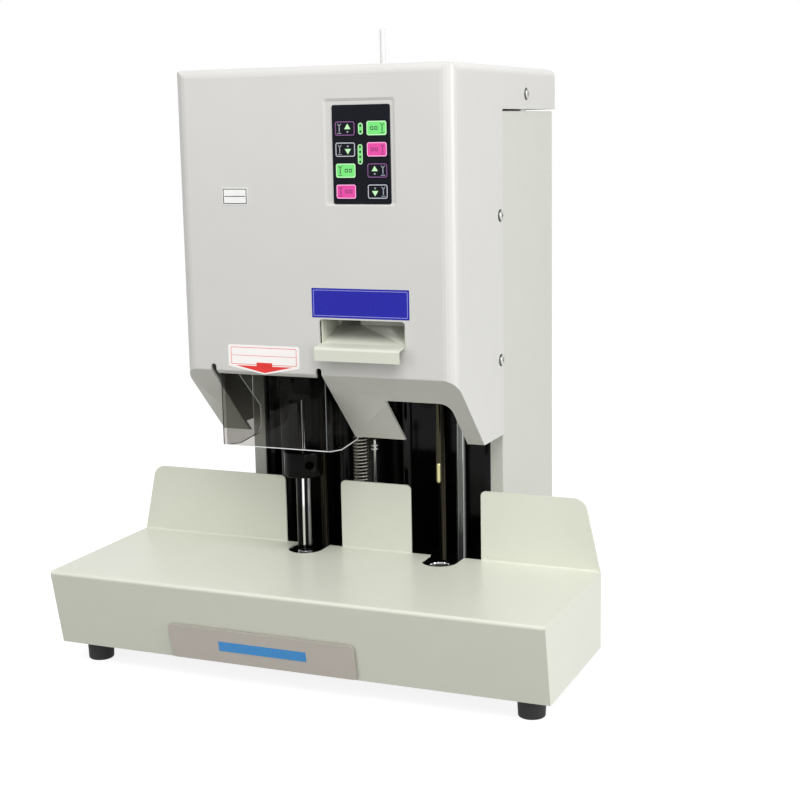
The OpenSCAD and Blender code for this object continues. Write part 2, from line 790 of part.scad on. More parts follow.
// Main frame: a cast back plate with side ribs, cover lugs and the chute's bracket
module main_frame() {
    rib_outer = rib_inner_x + rib_t;
    lug_x = cabinet_w / 2 - flange_w - 8;
    window_w = 56;
    window_h = 48;
    window_z = chute_floor(chute_back) - 84;
    color("dimgray")
    difference() {
        union() {
            block([-rib_outer, frame_y, base_top], [rib_outer, frame_y + frame_t, deck_z]);
            for (s = [0, 1]) mirror([s, 0, 0]) {
                block([rib_inner_x, frame_y - 34, base_top], [rib_outer, frame_y + cut, deck_z]);
                for (p = [side_screw_points[1], side_screw_points[2]]) {
                    block([lug_x, cover_back - 18, p[1] - 7], [lug_x + 7.7, frame_y - 24, p[1] + 7]);
                    block([lug_x, cover_back - 18, p[1] - 7], [cover_inner_x, cover_back, p[1] + 7]);
                }
            }
            side_profile(tube_x - 6, tube_x + 6)
                polygon([[frame_y + cut, chute_floor(chute_back) - 26],
                         [frame_y + cut, chute_floor(chute_back) - chute_drop],
                         [chute_back, chute_floor(chute_back) - chute_drop],
                         [chute_back - 5, chute_floor(chute_back - 5) - chute_drop],
                         [chute_back - 5, chute_floor(chute_back) - 14]]);
        }
        front_profile(frame_y - cut, frame_y + frame_t + cut)
            polygon(soft_box([-window_w / 2, window_z], [window_w / 2, window_z + window_h], 8));
        for (p = deck_bolt_points) {
            upright(p, deck_bolt_d + 2 * fit_gap, deck_z - 20, deck_z + cut);
            upright(p, deck_bolt_d + 2 * fit_gap, base_top - cut, base_top + 20);
        }
        for (p = [side_screw_points[1], side_screw_points[2]]) {
            across_rod(p[0], p[1], side_screw_d + 2 * fit_gap, lug_x - cut, head_side);
            across_rod(p[0], p[1], side_screw_d + 2 * fit_gap, -head_side, cut - lug_x);
        }
    }
}

// Lower bed that carries the die, the pad and the guide rods
module bed_plate() {
    color("dimgray")
    difference() {
        union() {
            block([-rib_inner_x, station_y - 32, bed_top - bed_t], [rib_inner_x, frame_y, bed_top]);
            for (p = post_points) upright(p, 12, bed_top - cut, tray_top - tray_sheet);
        }
        for (x = press_rod_x)
            upright([x, rod_y], press_rod_d + 2 * fit_gap, bed_top - bed_t - cut, bed_top + cut);
        for (x = drill_rod_x)
            upright([x, rod_y], drill_rod_d + 2 * fit_gap, bed_top - bed_t - cut, bed_top + cut);
        for (x = [press_screw_x, drill_screw_x]) {
            upright([x, screw_y], journal_d + 2 * fit_gap, bed_top - bed_t - cut, bed_top + cut);
        }
        upright([spring_x, spring_y], spring_rod_d + 2 * fit_gap, bed_top - bed_t - cut, bed_top + cut);
        upright([stop_rod_x, rod_y], stop_rod_d + 2 * fit_gap, bed_top - bed_t - cut, bed_top + cut);
        upright([drill_x, station_y], pad_shaft_d + 2 * fit_gap, bed_top - bed_t - cut, bed_top + cut);
    }
}

// Top plate that holds the rods' upper ends and carries the feed motors
module top_plate() {
    edge = rib_inner_x + 2;
    color("dimgray")
    difference() {
        block([-edge, station_y - 22, deck_z], [edge, frame_y + frame_t, deck_top]);
        for (x = press_rod_x) upright([x, rod_y], press_rod_d + 2 * fit_gap, deck_z - cut, deck_top + cut);
        for (x = drill_rod_x) upright([x, rod_y], drill_rod_d + 2 * fit_gap, deck_z - cut, deck_top + cut);
        for (x = [press_screw_x, drill_screw_x]) {
            upright([x, screw_y], journal_d + 2 * fit_gap, deck_z - cut, deck_top + cut);
        }
        upright([spring_x, spring_y], spring_rod_d + 2 * fit_gap, deck_z - cut, deck_top + cut);
        upright([tube_x, tube_y], tube_d + 2, deck_z - cut, deck_top + cut);
        for (p = deck_bolt_points) upright(p, deck_bolt_d + 2 * fit_gap, deck_z - cut, deck_top + cut);
        for (x = [-60, 60]) {
            translate([0, 0, deck_z - cut]) linear_extrude(deck_t + 2 * cut)
                polygon(soft_box([x - 24, station_y - 12], [x + 24, station_y + 24], 6));
        }
    }
}

// Bolts of the top plate, the frame's foot and the rubber feet
module frame_bolts() {
    foot_recess = foot_h * foot_recess_part;
    color("gray")
    union() {
        for (p = deck_bolt_points) {
            translate([p[0], p[1], deck_top]) socket_screw(deck_bolt_d, 10, 6, deck_t + 16);
            translate([p[0], p[1], foot_h]) mirror([0, 0, 1]) socket_screw(deck_bolt_d, 10, 6, base_t + 16);
        }
        for (p = foot_points) {
            translate([p[0], p[1], foot_recess]) mirror([0, 0, 1])
                socket_screw(bolt_d, 9, 5, base_top - foot_recess + 7);
            translate([p[0], p[1], base_top]) cylinder(d = 9.2, h = 4, $fn = 6);
        }
    }
}

// Two guide rods of the riveting station
module press_guide_rods() {
    color("dimgray")
    for (x = press_rod_x) upright([x, rod_y], press_rod_d, bed_top - bed_t, deck_top);
}

// Riveting carriage with the arm above its return spring
module press_carriage() {
    z = press_block_z;
    arm_right = spring_x + 11;
    nose = 20;
    color("silver")
    difference() {
        union() {
            translate([0, 0, z]) linear_extrude(press_block_h)
                polygon(soft_outline(
                    [[press_block_left, rod_y - 14], [press_x - nose, rod_y - 14],
                     [press_x - nose, station_y - nose],
                     [press_x + nose, station_y - nose], [press_x + nose, rod_y - 14],
                     [press_block_right, rod_y - 14],
                     [press_block_right, screw_y + 14], [press_block_left, screw_y + 14]],
                    [3, 0, 8, 8, 0, 3, 3, 3]));
            translate([0, 0, z]) linear_extrude(spring_arm_h)
                polygon(soft_outline(
                    [[press_block_right - cut, spring_y - 11], [arm_right, spring_y - 11],
                     [arm_right, spring_y + 11], [press_block_right - cut, spring_y + 11]],
                    [0, 8, 8, 0]));
        }
        for (x = press_rod_x)
            upright([x, rod_y], press_rod_d + 2 * bush_wall, z - cut, z + press_block_h + cut);
        upright([press_screw_x, screw_y], nut_d, z - cut, z + press_block_h + cut);
        upright([press_x, station_y], stem_d, z - cut, z + press_block_h + cut);
        upright([spring_x, spring_y], spring_rod_d + 2 * fit_gap, z - cut, z + press_block_h + cut);
        along_rod(press_x, z + press_block_h / 2, 5, station_y - nose - cut, station_y - 8);
    }
}

// Bronze bushes and nut of one carriage, between two heights
module bearing_set(rods, rod_size, nut_x, z0, z1) {
    for (x = rods) {
        difference() {
            union() {
                upright([x, rod_y], rod_size + 2 * bush_wall, z0, z1);
                upright([x, rod_y], rod_size + 2 * bush_wall + 3, z1, z1 + 2);
            }
            upright([x, rod_y], rod_size + 2 * fit_gap, z0 - cut, z1 + 2 + cut);
        }
    }
    difference() {
        union() {
            upright([nut_x, screw_y], nut_d, z0, z1);
            upright([nut_x, screw_y], nut_d + 6, z1, z1 + 5);
        }
        upright([nut_x, screw_y], screw_d + 2 * fit_gap, z0 - cut, z1 + 5 + cut);
    }
}

// Bushes and nut of the riveting carriage
module press_bearings() {
    color("goldenrod")
    bearing_set(press_rod_x, press_rod_d, press_screw_x, press_block_z, press_block_z + press_block_h);
}

// A feed screw with a journal at each end and a thrust collar under the top plate
module feed_screw(x) {
    upright([x, screw_y], journal_d, bed_top - bed_t + 2, deck_top + 18);
    upright([x, screw_y], screw_d, bed_top + seat_gap, deck_z - seat_gap);
    upright([x, screw_y], screw_d + 6, deck_z - 8, deck_z - seat_gap);
}

// Feed screw of the riveting station
module press_feed_screw() {
    color("lightgray") feed_screw(press_screw_x);
}

// A feed motor on the top plate, with its flange and its shaft bore
module feed_motor(x) {
    half = feed_motor_d / 2 + 2;
    difference() {
        union() {
            translate([0, 0, deck_top]) linear_extrude(6)
                polygon(soft_box([x - half, screw_y - half], [x + half, screw_y + half], 5));
            upright([x, screw_y], feed_motor_d, deck_top + cut, deck_top + feed_motor_h);
            upright([x, screw_y], 12, deck_top + feed_motor_h - cut, deck_top + feed_motor_h + 2);
        }
        upright([x, screw_y], journal_d + 2 * seat_gap, deck_top - cut, deck_top + 20);
    }
}

// Motor of the riveting station's feed
module press_feed_motor() {
    color("dimgray") feed_motor(press_screw_x);
}

// Riveting tip with its stem
module press_ram() {
    r = press_tip_d / 2;
    color("lightgray")
    translate([press_x, station_y, 0]) rotate_extrude()
        polygon([[0, press_tip_z + 1.5], [2, press_tip_z + 1.5], [r - 3, press_tip_z], [r - 1, press_tip_z],
                 [r, press_tip_z + 1], [r, press_tip_z + press_tip_h + collar_h - 1],
                 [r - 1, press_tip_z + press_tip_h + collar_h],
                 [stem_d / 2, press_tip_z + press_tip_h + collar_h],
                 [stem_d / 2, press_block_z + press_block_h + 2], [0, press_block_z + press_block_h + 2]]);
}

// Heater collar clamped round the top of the riveting tip
module heater_collar() {
    z = press_tip_z + press_tip_h;
    r = collar_d / 2;
    color("silver")
    difference() {
        translate([press_x, station_y, z]) rotate_extrude()
            polygon([[0, 0], [r - 1, 0], [r, 1], [r, collar_h - 1], [r - 1, collar_h], [0, collar_h]]);
        upright([press_x, station_y], press_tip_d, z - cut, z + collar_h + cut);
        block([press_x + press_tip_d / 4, station_y - 1, z - cut],
              [press_x + r + cut, station_y + 1, z + collar_h + cut]);
        along_rod(press_x + r - 6, z + collar_h / 2, 4.2, station_y - r, station_y + r);
        along_rod(press_x + r - 6, z + collar_h / 2, 8, station_y - r, station_y - 9);
    }
}

// Lower die on the bed
module lower_die() {
    r = die_d / 2;
    z1 = bed_top + die_h;
    color("silver")
    translate([press_x, station_y, 0]) rotate_extrude()
        polygon([[0, bed_top], [15, bed_top], [15, bed_top + 9], [13, bed_top + 11], [r, bed_top + 11],
                 [r, z1 - 0.5], [r - 0.5, z1], [3, z1], [2, z1 - 1.5], [0, z1 - 1.5]]);
}

// Return spring between the bed and the carriage's arm
module return_spring() {
    z0 = bed_top;
    length = press_block_z - bed_top;
    coils = floor(length / spring_pitch);
    step = length / coils;
    r = spring_d / 2;
    color("lightgray")
    translate([spring_x, spring_y, z0]) rotate_extrude($fn = 48)
        polygon(concat(
            [[r - spring_wire, 0], [r, 0]],
            [for (i = [1:coils]) each [[r - spring_wire * 0.6, (i - 0.5) * step], [r, i * step]]],
            [[r - spring_wire, length]]));
}

// Rod inside the return spring
module spring_rod() {
    color("lightgray") upright([spring_x, spring_y], spring_rod_d, bed_top - bed_t, deck_top);
}

// Thin stop rod with two rings
module stop_rod() {
    color("lightgray")
    union() {
        upright([stop_rod_x, rod_y], stop_rod_d, bed_top - bed_t, stop_ring_z + 9);
        for (z = [stop_ring_z - 1, stop_ring_z + 2.5]) upright([stop_rod_x, rod_y], 9, z, z + 1.2);
    }
}

// Two guide rods of the drilling station
module drill_guide_rods() {
    color("lightgray")
    for (x = drill_rod_x) upright([x, rod_y], drill_rod_d, bed_top - bed_t, deck_top);
}

// Drill carriage: narrow in front so that it can sink through the cover's opening
module drill_carriage() {
    z0 = drill_block_z;
    z1 = drill_block_z + drill_block_h;
    tongue_left = drill_cut_left + 2;
    step_y = slope_sum + cover_wall * sqrt(2) - (drill_block_z - drill_travel) + 1.5;
    color("silver")
    difference() {
        translate([0, 0, z0]) linear_extrude(drill_block_h)
            polygon(soft_outline(
                [[drill_block_left, step_y], [tongue_left, step_y], [tongue_left, station_y - 26],
                 [drill_block_right, station_y - 26], [drill_block_right, screw_y + 14],
                 [drill_block_left, screw_y + 14]],
                [3, 3, 8, 8, 3, 3]));
        for (x = drill_rod_x) upright([x, rod_y], drill_rod_d + 2 * bush_wall, z0 - cut, z1 + cut);
        upright([drill_screw_x, screw_y], nut_d, z0 - cut, z1 + cut);
        upright([drill_x, station_y], housing_d, z0 - cut, z1 + cut);
    }
}

// Bushes and nut of the drill carriage
module drill_bearings() {
    color("goldenrod")
    bearing_set(drill_rod_x, drill_rod_d, drill_screw_x, drill_block_z, drill_block_z + drill_block_h);
}

// Feed screw of the drilling station
module drill_feed_screw() {
    color("lightgray") feed_screw(drill_screw_x);
}

// Motor of the drilling station's feed
module drill_feed_motor() {
    color("dimgray") feed_motor(drill_screw_x);
}

// Housing of the drill spindle
module spindle_housing() {
    color("silver")
    difference() {
        union() {
            upright([drill_x, station_y], housing_d, drill_block_z - 4, housing_top);
            upright([drill_x, station_y], housing_d + 8, drill_block_z - 4, drill_block_z);
        }
        upright([drill_x, station_y], spindle_d + 2 * fit_gap, drill_block_z - 4 - cut, housing_top + cut);
    }
}

// A toothed belt's pulley without its bore, standing at the pulleys' height
module pulley(x, y) {
    r = pulley_d / 2;
    difference() {
        upright([x, y], pulley_d, pulley_z, pulley_z + pulley_h);
        difference() {
            upright([x, y], pulley_d + 2 * cut, pulley_z + pulley_flange,
                    pulley_z + pulley_h - pulley_flange);
            upright([x, y], 2 * (r - pulley_groove), pulley_z, pulley_z + pulley_h);
        }
    }
}

// Hollow spindle with its chuck below and its pulley above
module drill_spindle() {
    color("gray")
    difference() {
        union() {
            upright([drill_x, station_y], chuck_d, chuck_z, chuck_z + chuck_h);
            upright([drill_x, station_y], spindle_d, chuck_z + chuck_h - cut, pulley_z + cut);
            pulley(drill_x, station_y);
        }
        upright([drill_x, station_y], drill_d, chuck_z - cut, chuck_z + 8);
        upright([drill_x, station_y], drill_d * drill_bore_part, chuck_z, pulley_z + pulley_h + cut);
        along_rod(drill_x, chuck_z + chuck_h * 0.4, 4, station_y - chuck_d, station_y - drill_d);
    }
}

// Hollow drill with a thicker coated end
module hollow_drill() {
    r = drill_d / 2;
    bore = r * drill_bore_part;
    tip_h = 18;
    color("gold")
    translate([drill_x, station_y, 0]) rotate_extrude()
        polygon([[bore, drill_tip_z], [bore + 0.15, drill_tip_z], [drill_tip_d / 2, drill_tip_z + 1.5],
                 [drill_tip_d / 2, drill_tip_z + tip_h], [r, drill_tip_z + tip_h + 1], [r, chuck_z + 8],
                 [bore, chuck_z + 8]]);
}

// Drill motor behind the spindle
module drill_motor() {
    z0 = drill_block_z + drill_block_h;
    color("dimgray")
    difference() {
        union() {
            upright([motor_x, motor_y], motor_d, z0, housing_top);
            upright([motor_x, motor_y], motor_d * 0.4, housing_top - cut, housing_top + 2);
        }
        upright([motor_x, motor_y], motor_shaft_d + 2 * fit_gap, housing_top - 20, housing_top + 2 + cut);
    }
}

// Pulley on the drill motor's shaft
module motor_pulley() {
    color("gray")
    union() {
        pulley(motor_x, motor_y);
        upright([motor_x, motor_y], motor_shaft_d, housing_top - 18, pulley_z + pulley_h + 1);
    }
}

// The outline of a loop round both pulleys at radius r
function belt_outline(r, steps = 24) =
    let (
        away = atan2(motor_y - station_y, motor_x - drill_x),
        spindle = [drill_x, station_y],
        motor = [motor_x, motor_y]
    )
    concat(
        [for (i = [0:steps]) let (a = away + 90 + 180 * i / steps) spindle + r * [cos(a), sin(a)]],
        [for (i = [0:steps]) let (a = away - 90 + 180 * i / steps) motor + r * [cos(a), sin(a)]]);

// Drive belt between the drill motor and the spindle
module drive_belt() {
    inner_r = pulley_d / 2 - pulley_groove + seat_gap;
    color("black")
    translate([0, 0, pulley_z + pulley_flange + seat_gap]) linear_extrude(belt_h)
        difference() {
            polygon(belt_outline(inner_r + belt_t));
            polygon(belt_outline(inner_r));
        }
}

// Cutting pad under the drill
module cutting_pad() {
    color("white") upright([drill_x, station_y], pad_cup_d - 2 * pad_cup_wall - 0.2, pad_floor + 3, pad_top);
}

// Turning cup that holds the cutting pad
module pad_cup() {
    r = pad_cup_d / 2;
    inner = r - pad_cup_wall;
    rim = bed_top + pad_cup_h;
    color("silver")
    translate([drill_x, station_y, 0]) rotate_extrude()
        polygon([[0, bed_top - bed_t - 8], [pad_shaft_d / 2, bed_top - bed_t - 8],
                 [pad_shaft_d / 2, bed_top + seat_gap], [7, bed_top + seat_gap], [7, pad_floor],
                 [r, pad_floor],
                 [r, rim - 0.5], [r - 0.5, rim], [inner, rim], [inner, pad_floor + 3], [0, pad_floor + 3]]);
}

// Motor that turns the pad
module pad_motor() {
    z1 = bed_top - bed_t;
    color("dimgray")
    difference() {
        union() {
            upright([drill_x, station_y], 34, z1 - pad_motor_h + 2, z1);
            upright([drill_x, station_y], 14, z1 - pad_motor_h, z1 - pad_motor_h + 2 + cut);
        }
        upright([drill_x, station_y], pad_shaft_d + 2 * seat_gap, z1 - 10, z1 + cut);
    }
}

// Tube feeder: two cheeks with guide plates and the feed motor
module tube_feeder() {
    z1 = feeder_z + feeder_h;
    y0 = tube_y - 24;
    color("silver")
    difference() {
        union() {
            for (x = [tube_x - 14, tube_x + 10]) block([x, y0, feeder_z], [x + 4, frame_y, z1]);
            for (z = [feeder_z, z1 - 4])
                block([tube_x - 14, tube_y - 7, z], [tube_x + 14, tube_y + 7, z + 4]);
            block([tube_x - 14, frame_y - 4, feeder_z], [tube_x + 14, frame_y, z1]);
            across_rod(drive_roller_y, roller_z, 22, tube_x - 38, tube_x - 13);
        }
        upright([tube_x, tube_y], tube_d + 2 * seat_gap, feeder_z - cut, z1 + cut);
        for (y = [drive_roller_y, pinch_roller_y]) {
            across_rod(y, roller_z, roller_shaft_d + 2 * fit_gap, tube_x - 20, tube_x + 14 + cut);
        }
    }
}

// A feed roller with its shaft
module feed_roller(y, shaft_left) {
    across_rod(y, roller_z, 2 * roller_r, tube_x - 7, tube_x + 7);
    across_rod(y, roller_z, roller_shaft_d, shaft_left, tube_x + 14);
}

// Roller that drives the nylon tube
module drive_roller() {
    color("gray") feed_roller(drive_roller_y, tube_x - 19);
}

// Roller that presses the nylon tube against the driven one
module pinch_roller() {
    color("gray") feed_roller(pinch_roller_y, tube_x - 14);
}

// Nylon tube that the rivets are cut from
module nylon_tube() {
    color("white")
    difference() {
        upright([tube_x, tube_y], tube_d, feeder_z, tube_top);
        upright([tube_x, tube_y], tube_bore, feeder_z - cut, tube_top + cut);
    }
}

// Grommet that guides the tube through the head's top
module tube_guide() {
    bore = tube_d / 2 + seat_gap;
    inner_top = overall_h - cover_wall;
    color("white")
    translate([tube_x, tube_y, 0]) rotate_extrude()
        polygon([[bore, inner_top - 2.5], [guide_neck_r + 1, inner_top - 2.5],
                 [guide_neck_r + 1.5, inner_top],
                 [guide_neck_r, inner_top], [guide_neck_r, overall_h], [guide_neck_r + 2, overall_h],
                 [guide_neck_r + 2, overall_h + 2], [guide_neck_r + 1, overall_h + 3],
                 [bore, overall_h + 3]]);
}

// Chute that brings the cut tube to a scoop in the head's front
module tube_chute() {
    x0 = mouth_left + 1;
    x1 = mouth_left + mouth_w - 1;
    left = tube_x - 10;
    right = tube_x + 10;
    rear = chute_back;
    bend = head_front + cover_wall;
    back = head_front + 42;
    t = chute_sheet;
    lip_y = head_front - lip_reach;
    lip_top = chute_floor(bend) - 1.6;
    top_z = mouth_z + mouth_h + 2;
    color("ivory")
    union() {
        side_profile(left - t, right + t)
            polygon([[rear, chute_floor(rear)], [back, chute_floor(back)],
                     [back, chute_floor(back) - chute_drop], [rear, chute_floor(rear) - chute_drop]]);
        for (x = [left - t, right]) {
            side_profile(x, x + t)
                polygon([[rear, chute_floor(rear) + 14], [back, chute_floor(back) + 14],
                         [back, chute_floor(back) - chute_drop], [rear, chute_floor(rear) - chute_drop]]);
        }
        side_profile(x0, x1)
            polygon([[back, chute_floor(back)], [bend, chute_floor(bend)], [lip_y + 2.5, lip_top],
                     [lip_y + 0.7, lip_top - 0.7], [lip_y, lip_top - 2.5], [lip_y, lip_top - lip_drop],
                     [lip_y + t, lip_top - lip_drop], [lip_y + t, lip_top - 2.8], [lip_y + 2.8, lip_top - t],
                     [bend, chute_floor(bend) - chute_drop], [back, chute_floor(back) - chute_drop]]);
        for (x = [x0, x1 - t]) {
            side_profile(x, x + t)
                polygon([[bend + 0.5, chute_floor(bend)], [bend + 0.5, top_z], [back, top_z],
                         [back, chute_floor(back) - t], [bend + 0.5, chute_floor(bend) - t]]);
        }
        block([x0, back - t, chute_floor(back) - t], [left, back, top_z]);
        block([right, back - t, chute_floor(back) - t], [x1, back, top_z]);
    }
}

// Clear guard: a front plate with two side wings, hung on the hinge pin
module guard() {
    x0 = guard_cut_left + 2.5;
    x1 = guard_cut_right - 2.3;
    y0 = guard_pin_y - 0.2;
    z1 = guard_pin_z - 6;
    slant = guard_pin_y + 11;
    color("gray", 0.5)
    difference() {
        union() {
            block([x0, y0, guard_z + 2], [x1, y0 + guard_wall, z1]);
            for (x = [x0, x1 - guard_wall]) {
                side_profile(x, x + guard_wall)
                    polygon(soft_outline(
                        [[y0, guard_z + 2], [y0, z1], [slant, z1],
                         [guard_pin_y + wing_d, z1 - (wing_d - 11) * 0.91],
                         [guard_pin_y + wing_d, guard_z], [guard_pin_y + 30, guard_z - 2]],
                        [1, 1, 4, 3, 9, 20]));
            }
            for (x = knuckle_x) {
                across_rod(guard_pin_y, guard_pin_z, knuckle_d, x, x + knuckle_w);
                block([x, y0, z1 - cut], [x + knuckle_w, y0 + guard_wall, guard_pin_z]);
            }
        }
        across_rod(guard_pin_y, guard_pin_z, hinge_pin_d + 2 * fit_gap, x0 - cut, x1 + cut);
    }
}

// Hinge pin of the guard with a bracket at each end
module guard_hinge() {
    left = guard_cut_left - 5;
    right = guard_cut_right + 0.7;
    color("dimgray")
    union() {
        across_rod(guard_pin_y, guard_pin_z, hinge_pin_d, left, right + 4);
        for (x = [left, right]) {
            side_profile(x, x + 4)
                polygon(soft_outline(
                    [[head_front + cover_wall, guard_pin_z - 6], [guard_pin_y + 7, guard_pin_z - 6],
                     [guard_pin_y + 7, guard_pin_z + 6], [head_front + cover_wall, guard_pin_z + 8]],
                    [0, 6, 6, 0]));
        }
    }
}

// Key membrane in the head's front recess
module keypad_panel() {
    gap = seat_gap;
    color("lightgray")
    difference() {
        front_profile(head_front, head_front + recess_d)
            polygon(soft_box([membrane_left, membrane_z],
                             [membrane_left + membrane_w, membrane_z + membrane_h], 2));
        for (c = key_centres) {
            block([c[0] - key_w / 2 - gap, head_front - cut, c[1] - key_h / 2 - gap],
                  [c[0] + key_w / 2 + gap, head_front + recess_d + cut, c[1] + key_h / 2 + gap]);
        }
    }
}

// Circuit board behind the keys, with a dome under each key
module key_board() {
    y0 = key_board_y;
    color("green")
    union() {
        block([membrane_left - 1, y0, membrane_z - 1],
              [membrane_left + membrane_w + 1, y0 + 1.6, membrane_z + membrane_h + 1]);
        for (x = [membrane_left - 1, membrane_left + membrane_w - 1],
             z = [membrane_z - 1, membrane_z + membrane_h - 1]) {
            block([x, head_front + cover_wall, z], [x + 2, y0 + cut, z + 2]);
        }
        for (c = key_centres) {
            along_rod(c[0], c[1], 6, key_flange_y + key_flange_t + key_travel + 0.1, y0 + cut);
        }
    }
}

// One key: a face plate with a flange behind the membrane
module key(number) {
    c = key_centres[number - 1];
    front = head_front - 0.3;
    union() {
        front_profile(front, key_flange_y + cut / 2)
            polygon(soft_box([c[0] - key_w / 2, c[1] - key_h / 2], [c[0] + key_w / 2, c[1] + key_h / 2],
                             0.8));
        block([c[0] - key_w / 2 - 0.8, key_flange_y, c[1] - key_h / 2 - 0.7],
              [c[0] + key_w / 2 + 0.8, key_flange_y + key_flange_t, c[1] + key_h / 2 + 0.7]);
    }
}

// Key for moving up at the top left
module key_1() {
    color("dimgray") key(1);
}

// Green key at the top right
module key_2() {
    color("lightgreen") key(2);
}

// Key for moving down at the left
module key_3() {
    color("dimgray") key(3);
}

// Magenta key at the right
module key_4() {
    color("deeppink") key(4);
}

// Green key at the left
module key_5() {
    color("lightgreen") key(5);
}

// Key for moving up at the right
module key_6() {
    color("dimgray") key(6);
}

// Magenta key at the bottom left
module key_7() {
    color("deeppink") key(7);
}

// Key for moving down at the bottom right
module key_8() {
    color("dimgray") key(8);
}

// Control board behind the main frame, on four standoffs
module control_board() {
    y0 = frame_y + frame_t;
    z1 = deck_z - 30;
    z0 = z1 - 140;
    color("green")
    union() {
        block([-80, y0 + 6, z0], [80, y0 + 8, z1]);
        for (x = [-72, 72], z = [z0 + 8, z1 - 8]) along_rod(x, z, 7, y0, y0 + 6 + cut);
        for (x = [-60, -20, 20]) block([x, y0 + 8 - cut, z1 - 50], [x + 28, y0 + 20, z1 - 20]);
        block([-50, y0 + 8 - cut, z0 + 30], [-10, y0 + 12, z0 + 70]);
        for (x = [15, 35, 55]) along_rod(x, z0 + 30, 14, y0 + 8 - cut, y0 + 28);
    }
}

// Power supply on the base plate behind the main frame
module power_supply() {
    y0 = frame_y + frame_t + 14;
    y1 = cabinet_rear - 22;
    left = -100;
    right = -10;
    h = 66;
    color("lightgray")
    difference() {
        block([left, y0, base_top], [right, y1, base_top + h]);
        block([left + 1.5, y0 + 1.5, base_top + 1.5], [right - 1.5, y1 - 1.5, base_top + h - 1.5]);
        for (x = [left + 8:12:right - 10])
            block([x, y0 + 10, base_top + h - 6], [x + 6, y1 - 10, base_top + h + cut]);
    }
}

// Mains inlet with three pins and an opening for its switch
module mains_inlet() {
    y0 = cabinet_rear + panel_t;
    y1 = y0 + 2.5;
    socket_z = inlet_z - 12;
    color("black")
    union() {
        difference() {
            union() {
                front_profile(y0, y1)
                    polygon(soft_box([inlet_x - 16, inlet_z - 32], [inlet_x + 16, inlet_z + 32], 3));
                block([inlet_x - 13, y0 - 20, inlet_z - 29], [inlet_x + 13, y0 + cut, inlet_z + 29]);
            }
            front_profile(y1 - 17, y1 + cut)
                polygon(soft_outline(
                    [[inlet_x - 12, socket_z - 9], [inlet_x + 12, socket_z - 9], [inlet_x + 12, socket_z + 4],
                     [inlet_x + 8, socket_z + 8], [inlet_x - 8, socket_z + 8], [inlet_x - 12, socket_z + 4]],
                    [1, 1, 1, 1, 1, 1]));
            block([inlet_x - rocker_w / 2 - 0.4, rocker_y - 6, rocker_z - 10],
                  [inlet_x + rocker_w / 2 + 0.4, y1 + cut, rocker_z + 10]);
        }
        for (p = [[-7, -1], [0, 3], [7, -1]]) {
            block([inlet_x + p[0] - 1, y1 - 18, socket_z + p[1] - 2],
                  [inlet_x + p[0] + 1, y1 - 4, socket_z + p[1] + 2]);
        }
    }
}

// Rocker of the mains switch, lying in its off position
module power_rocker() {
    color("black")
    translate([0, rocker_y, rocker_z]) rotate([-rocker_angle, 0, 0])
        side_profile(inlet_x - rocker_w / 2, inlet_x + rocker_w / 2)
            polygon([[2.2, 0], [4.2, 9], [-2, 9], [-3, 0], [-2, -9], [4.2, -9]]);
}

paper_tray();
base_frame();
rubber_feet();
scrap_drawer();
rear_cabinet();
back_panel();
panel_screws();
head_cover();
cover_screws();
main_frame();
bed_plate();
top_plate();
frame_bolts();
press_guide_rods();
press_carriage();
press_bearings();
press_feed_screw();
press_feed_motor();
press_ram();
heater_collar();
lower_die();
return_spring();
spring_rod();
stop_rod();
drill_guide_rods();
drill_carriage();
drill_bearings();
drill_feed_screw();
drill_feed_motor();
spindle_housing();
drill_spindle();
hollow_drill();
drill_motor();
motor_pulley();
drive_belt();
cutting_pad();
pad_cup();
pad_motor();
tube_feeder();
drive_roller();
pinch_roller();
nylon_tube();
tube_guide();
tube_chute();
guard();
guard_hinge();
keypad_panel();
key_board();
key_1();
key_2();
key_3();
key_4();
key_5();
key_6();
key_7();
key_8();
control_board();
power_supply();
mains_inlet();
power_rocker();
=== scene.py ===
import math
import bpy
import bmesh
from mathutils import Matrix, Vector


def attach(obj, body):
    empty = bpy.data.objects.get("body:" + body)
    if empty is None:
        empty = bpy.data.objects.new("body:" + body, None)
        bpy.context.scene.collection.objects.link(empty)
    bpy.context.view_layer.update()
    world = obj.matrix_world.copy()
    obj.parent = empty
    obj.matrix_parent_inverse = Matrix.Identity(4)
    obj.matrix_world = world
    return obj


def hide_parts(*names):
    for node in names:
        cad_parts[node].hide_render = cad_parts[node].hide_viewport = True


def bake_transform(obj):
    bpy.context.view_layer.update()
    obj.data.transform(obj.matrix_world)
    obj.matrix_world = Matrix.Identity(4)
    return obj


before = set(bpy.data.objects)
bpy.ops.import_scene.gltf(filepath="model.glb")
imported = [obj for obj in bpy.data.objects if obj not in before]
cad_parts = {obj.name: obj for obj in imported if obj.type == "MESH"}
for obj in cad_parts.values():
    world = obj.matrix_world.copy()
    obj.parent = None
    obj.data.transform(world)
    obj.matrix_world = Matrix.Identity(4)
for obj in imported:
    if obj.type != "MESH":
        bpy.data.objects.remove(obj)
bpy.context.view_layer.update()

mm = 0.001  # all lengths below are written in millimetres


# small helpers

def linear(hexColour):  # sRGB hex to the linear colour that the shader wants
    parts = [int(hexColour[i:i + 2], 16) / 255 for i in (0, 2, 4)]
    return tuple(c / 12.92 if c <= 0.04045 else ((c + 0.055) / 1.055) ** 2.4 for c in parts) + (1.0,)


def addNode(tree, kind, settings=None, links=None):  # one node, its settings and what feeds it
    node = tree.nodes.new(kind)
    for key, value in (settings or {}).items():
        if isinstance(key, str) and hasattr(node, key):
            setattr(node, key, value)
        else:
            node.inputs[key].default_value = value
    for key, socket in (links or {}).items():
        tree.links.new(socket, node.inputs[key])
    return node


def emptyTree(owner):  # the cleared node tree of a material or of the world
    owner.use_nodes = True
    owner.node_tree.nodes.clear()
    return owner.node_tree


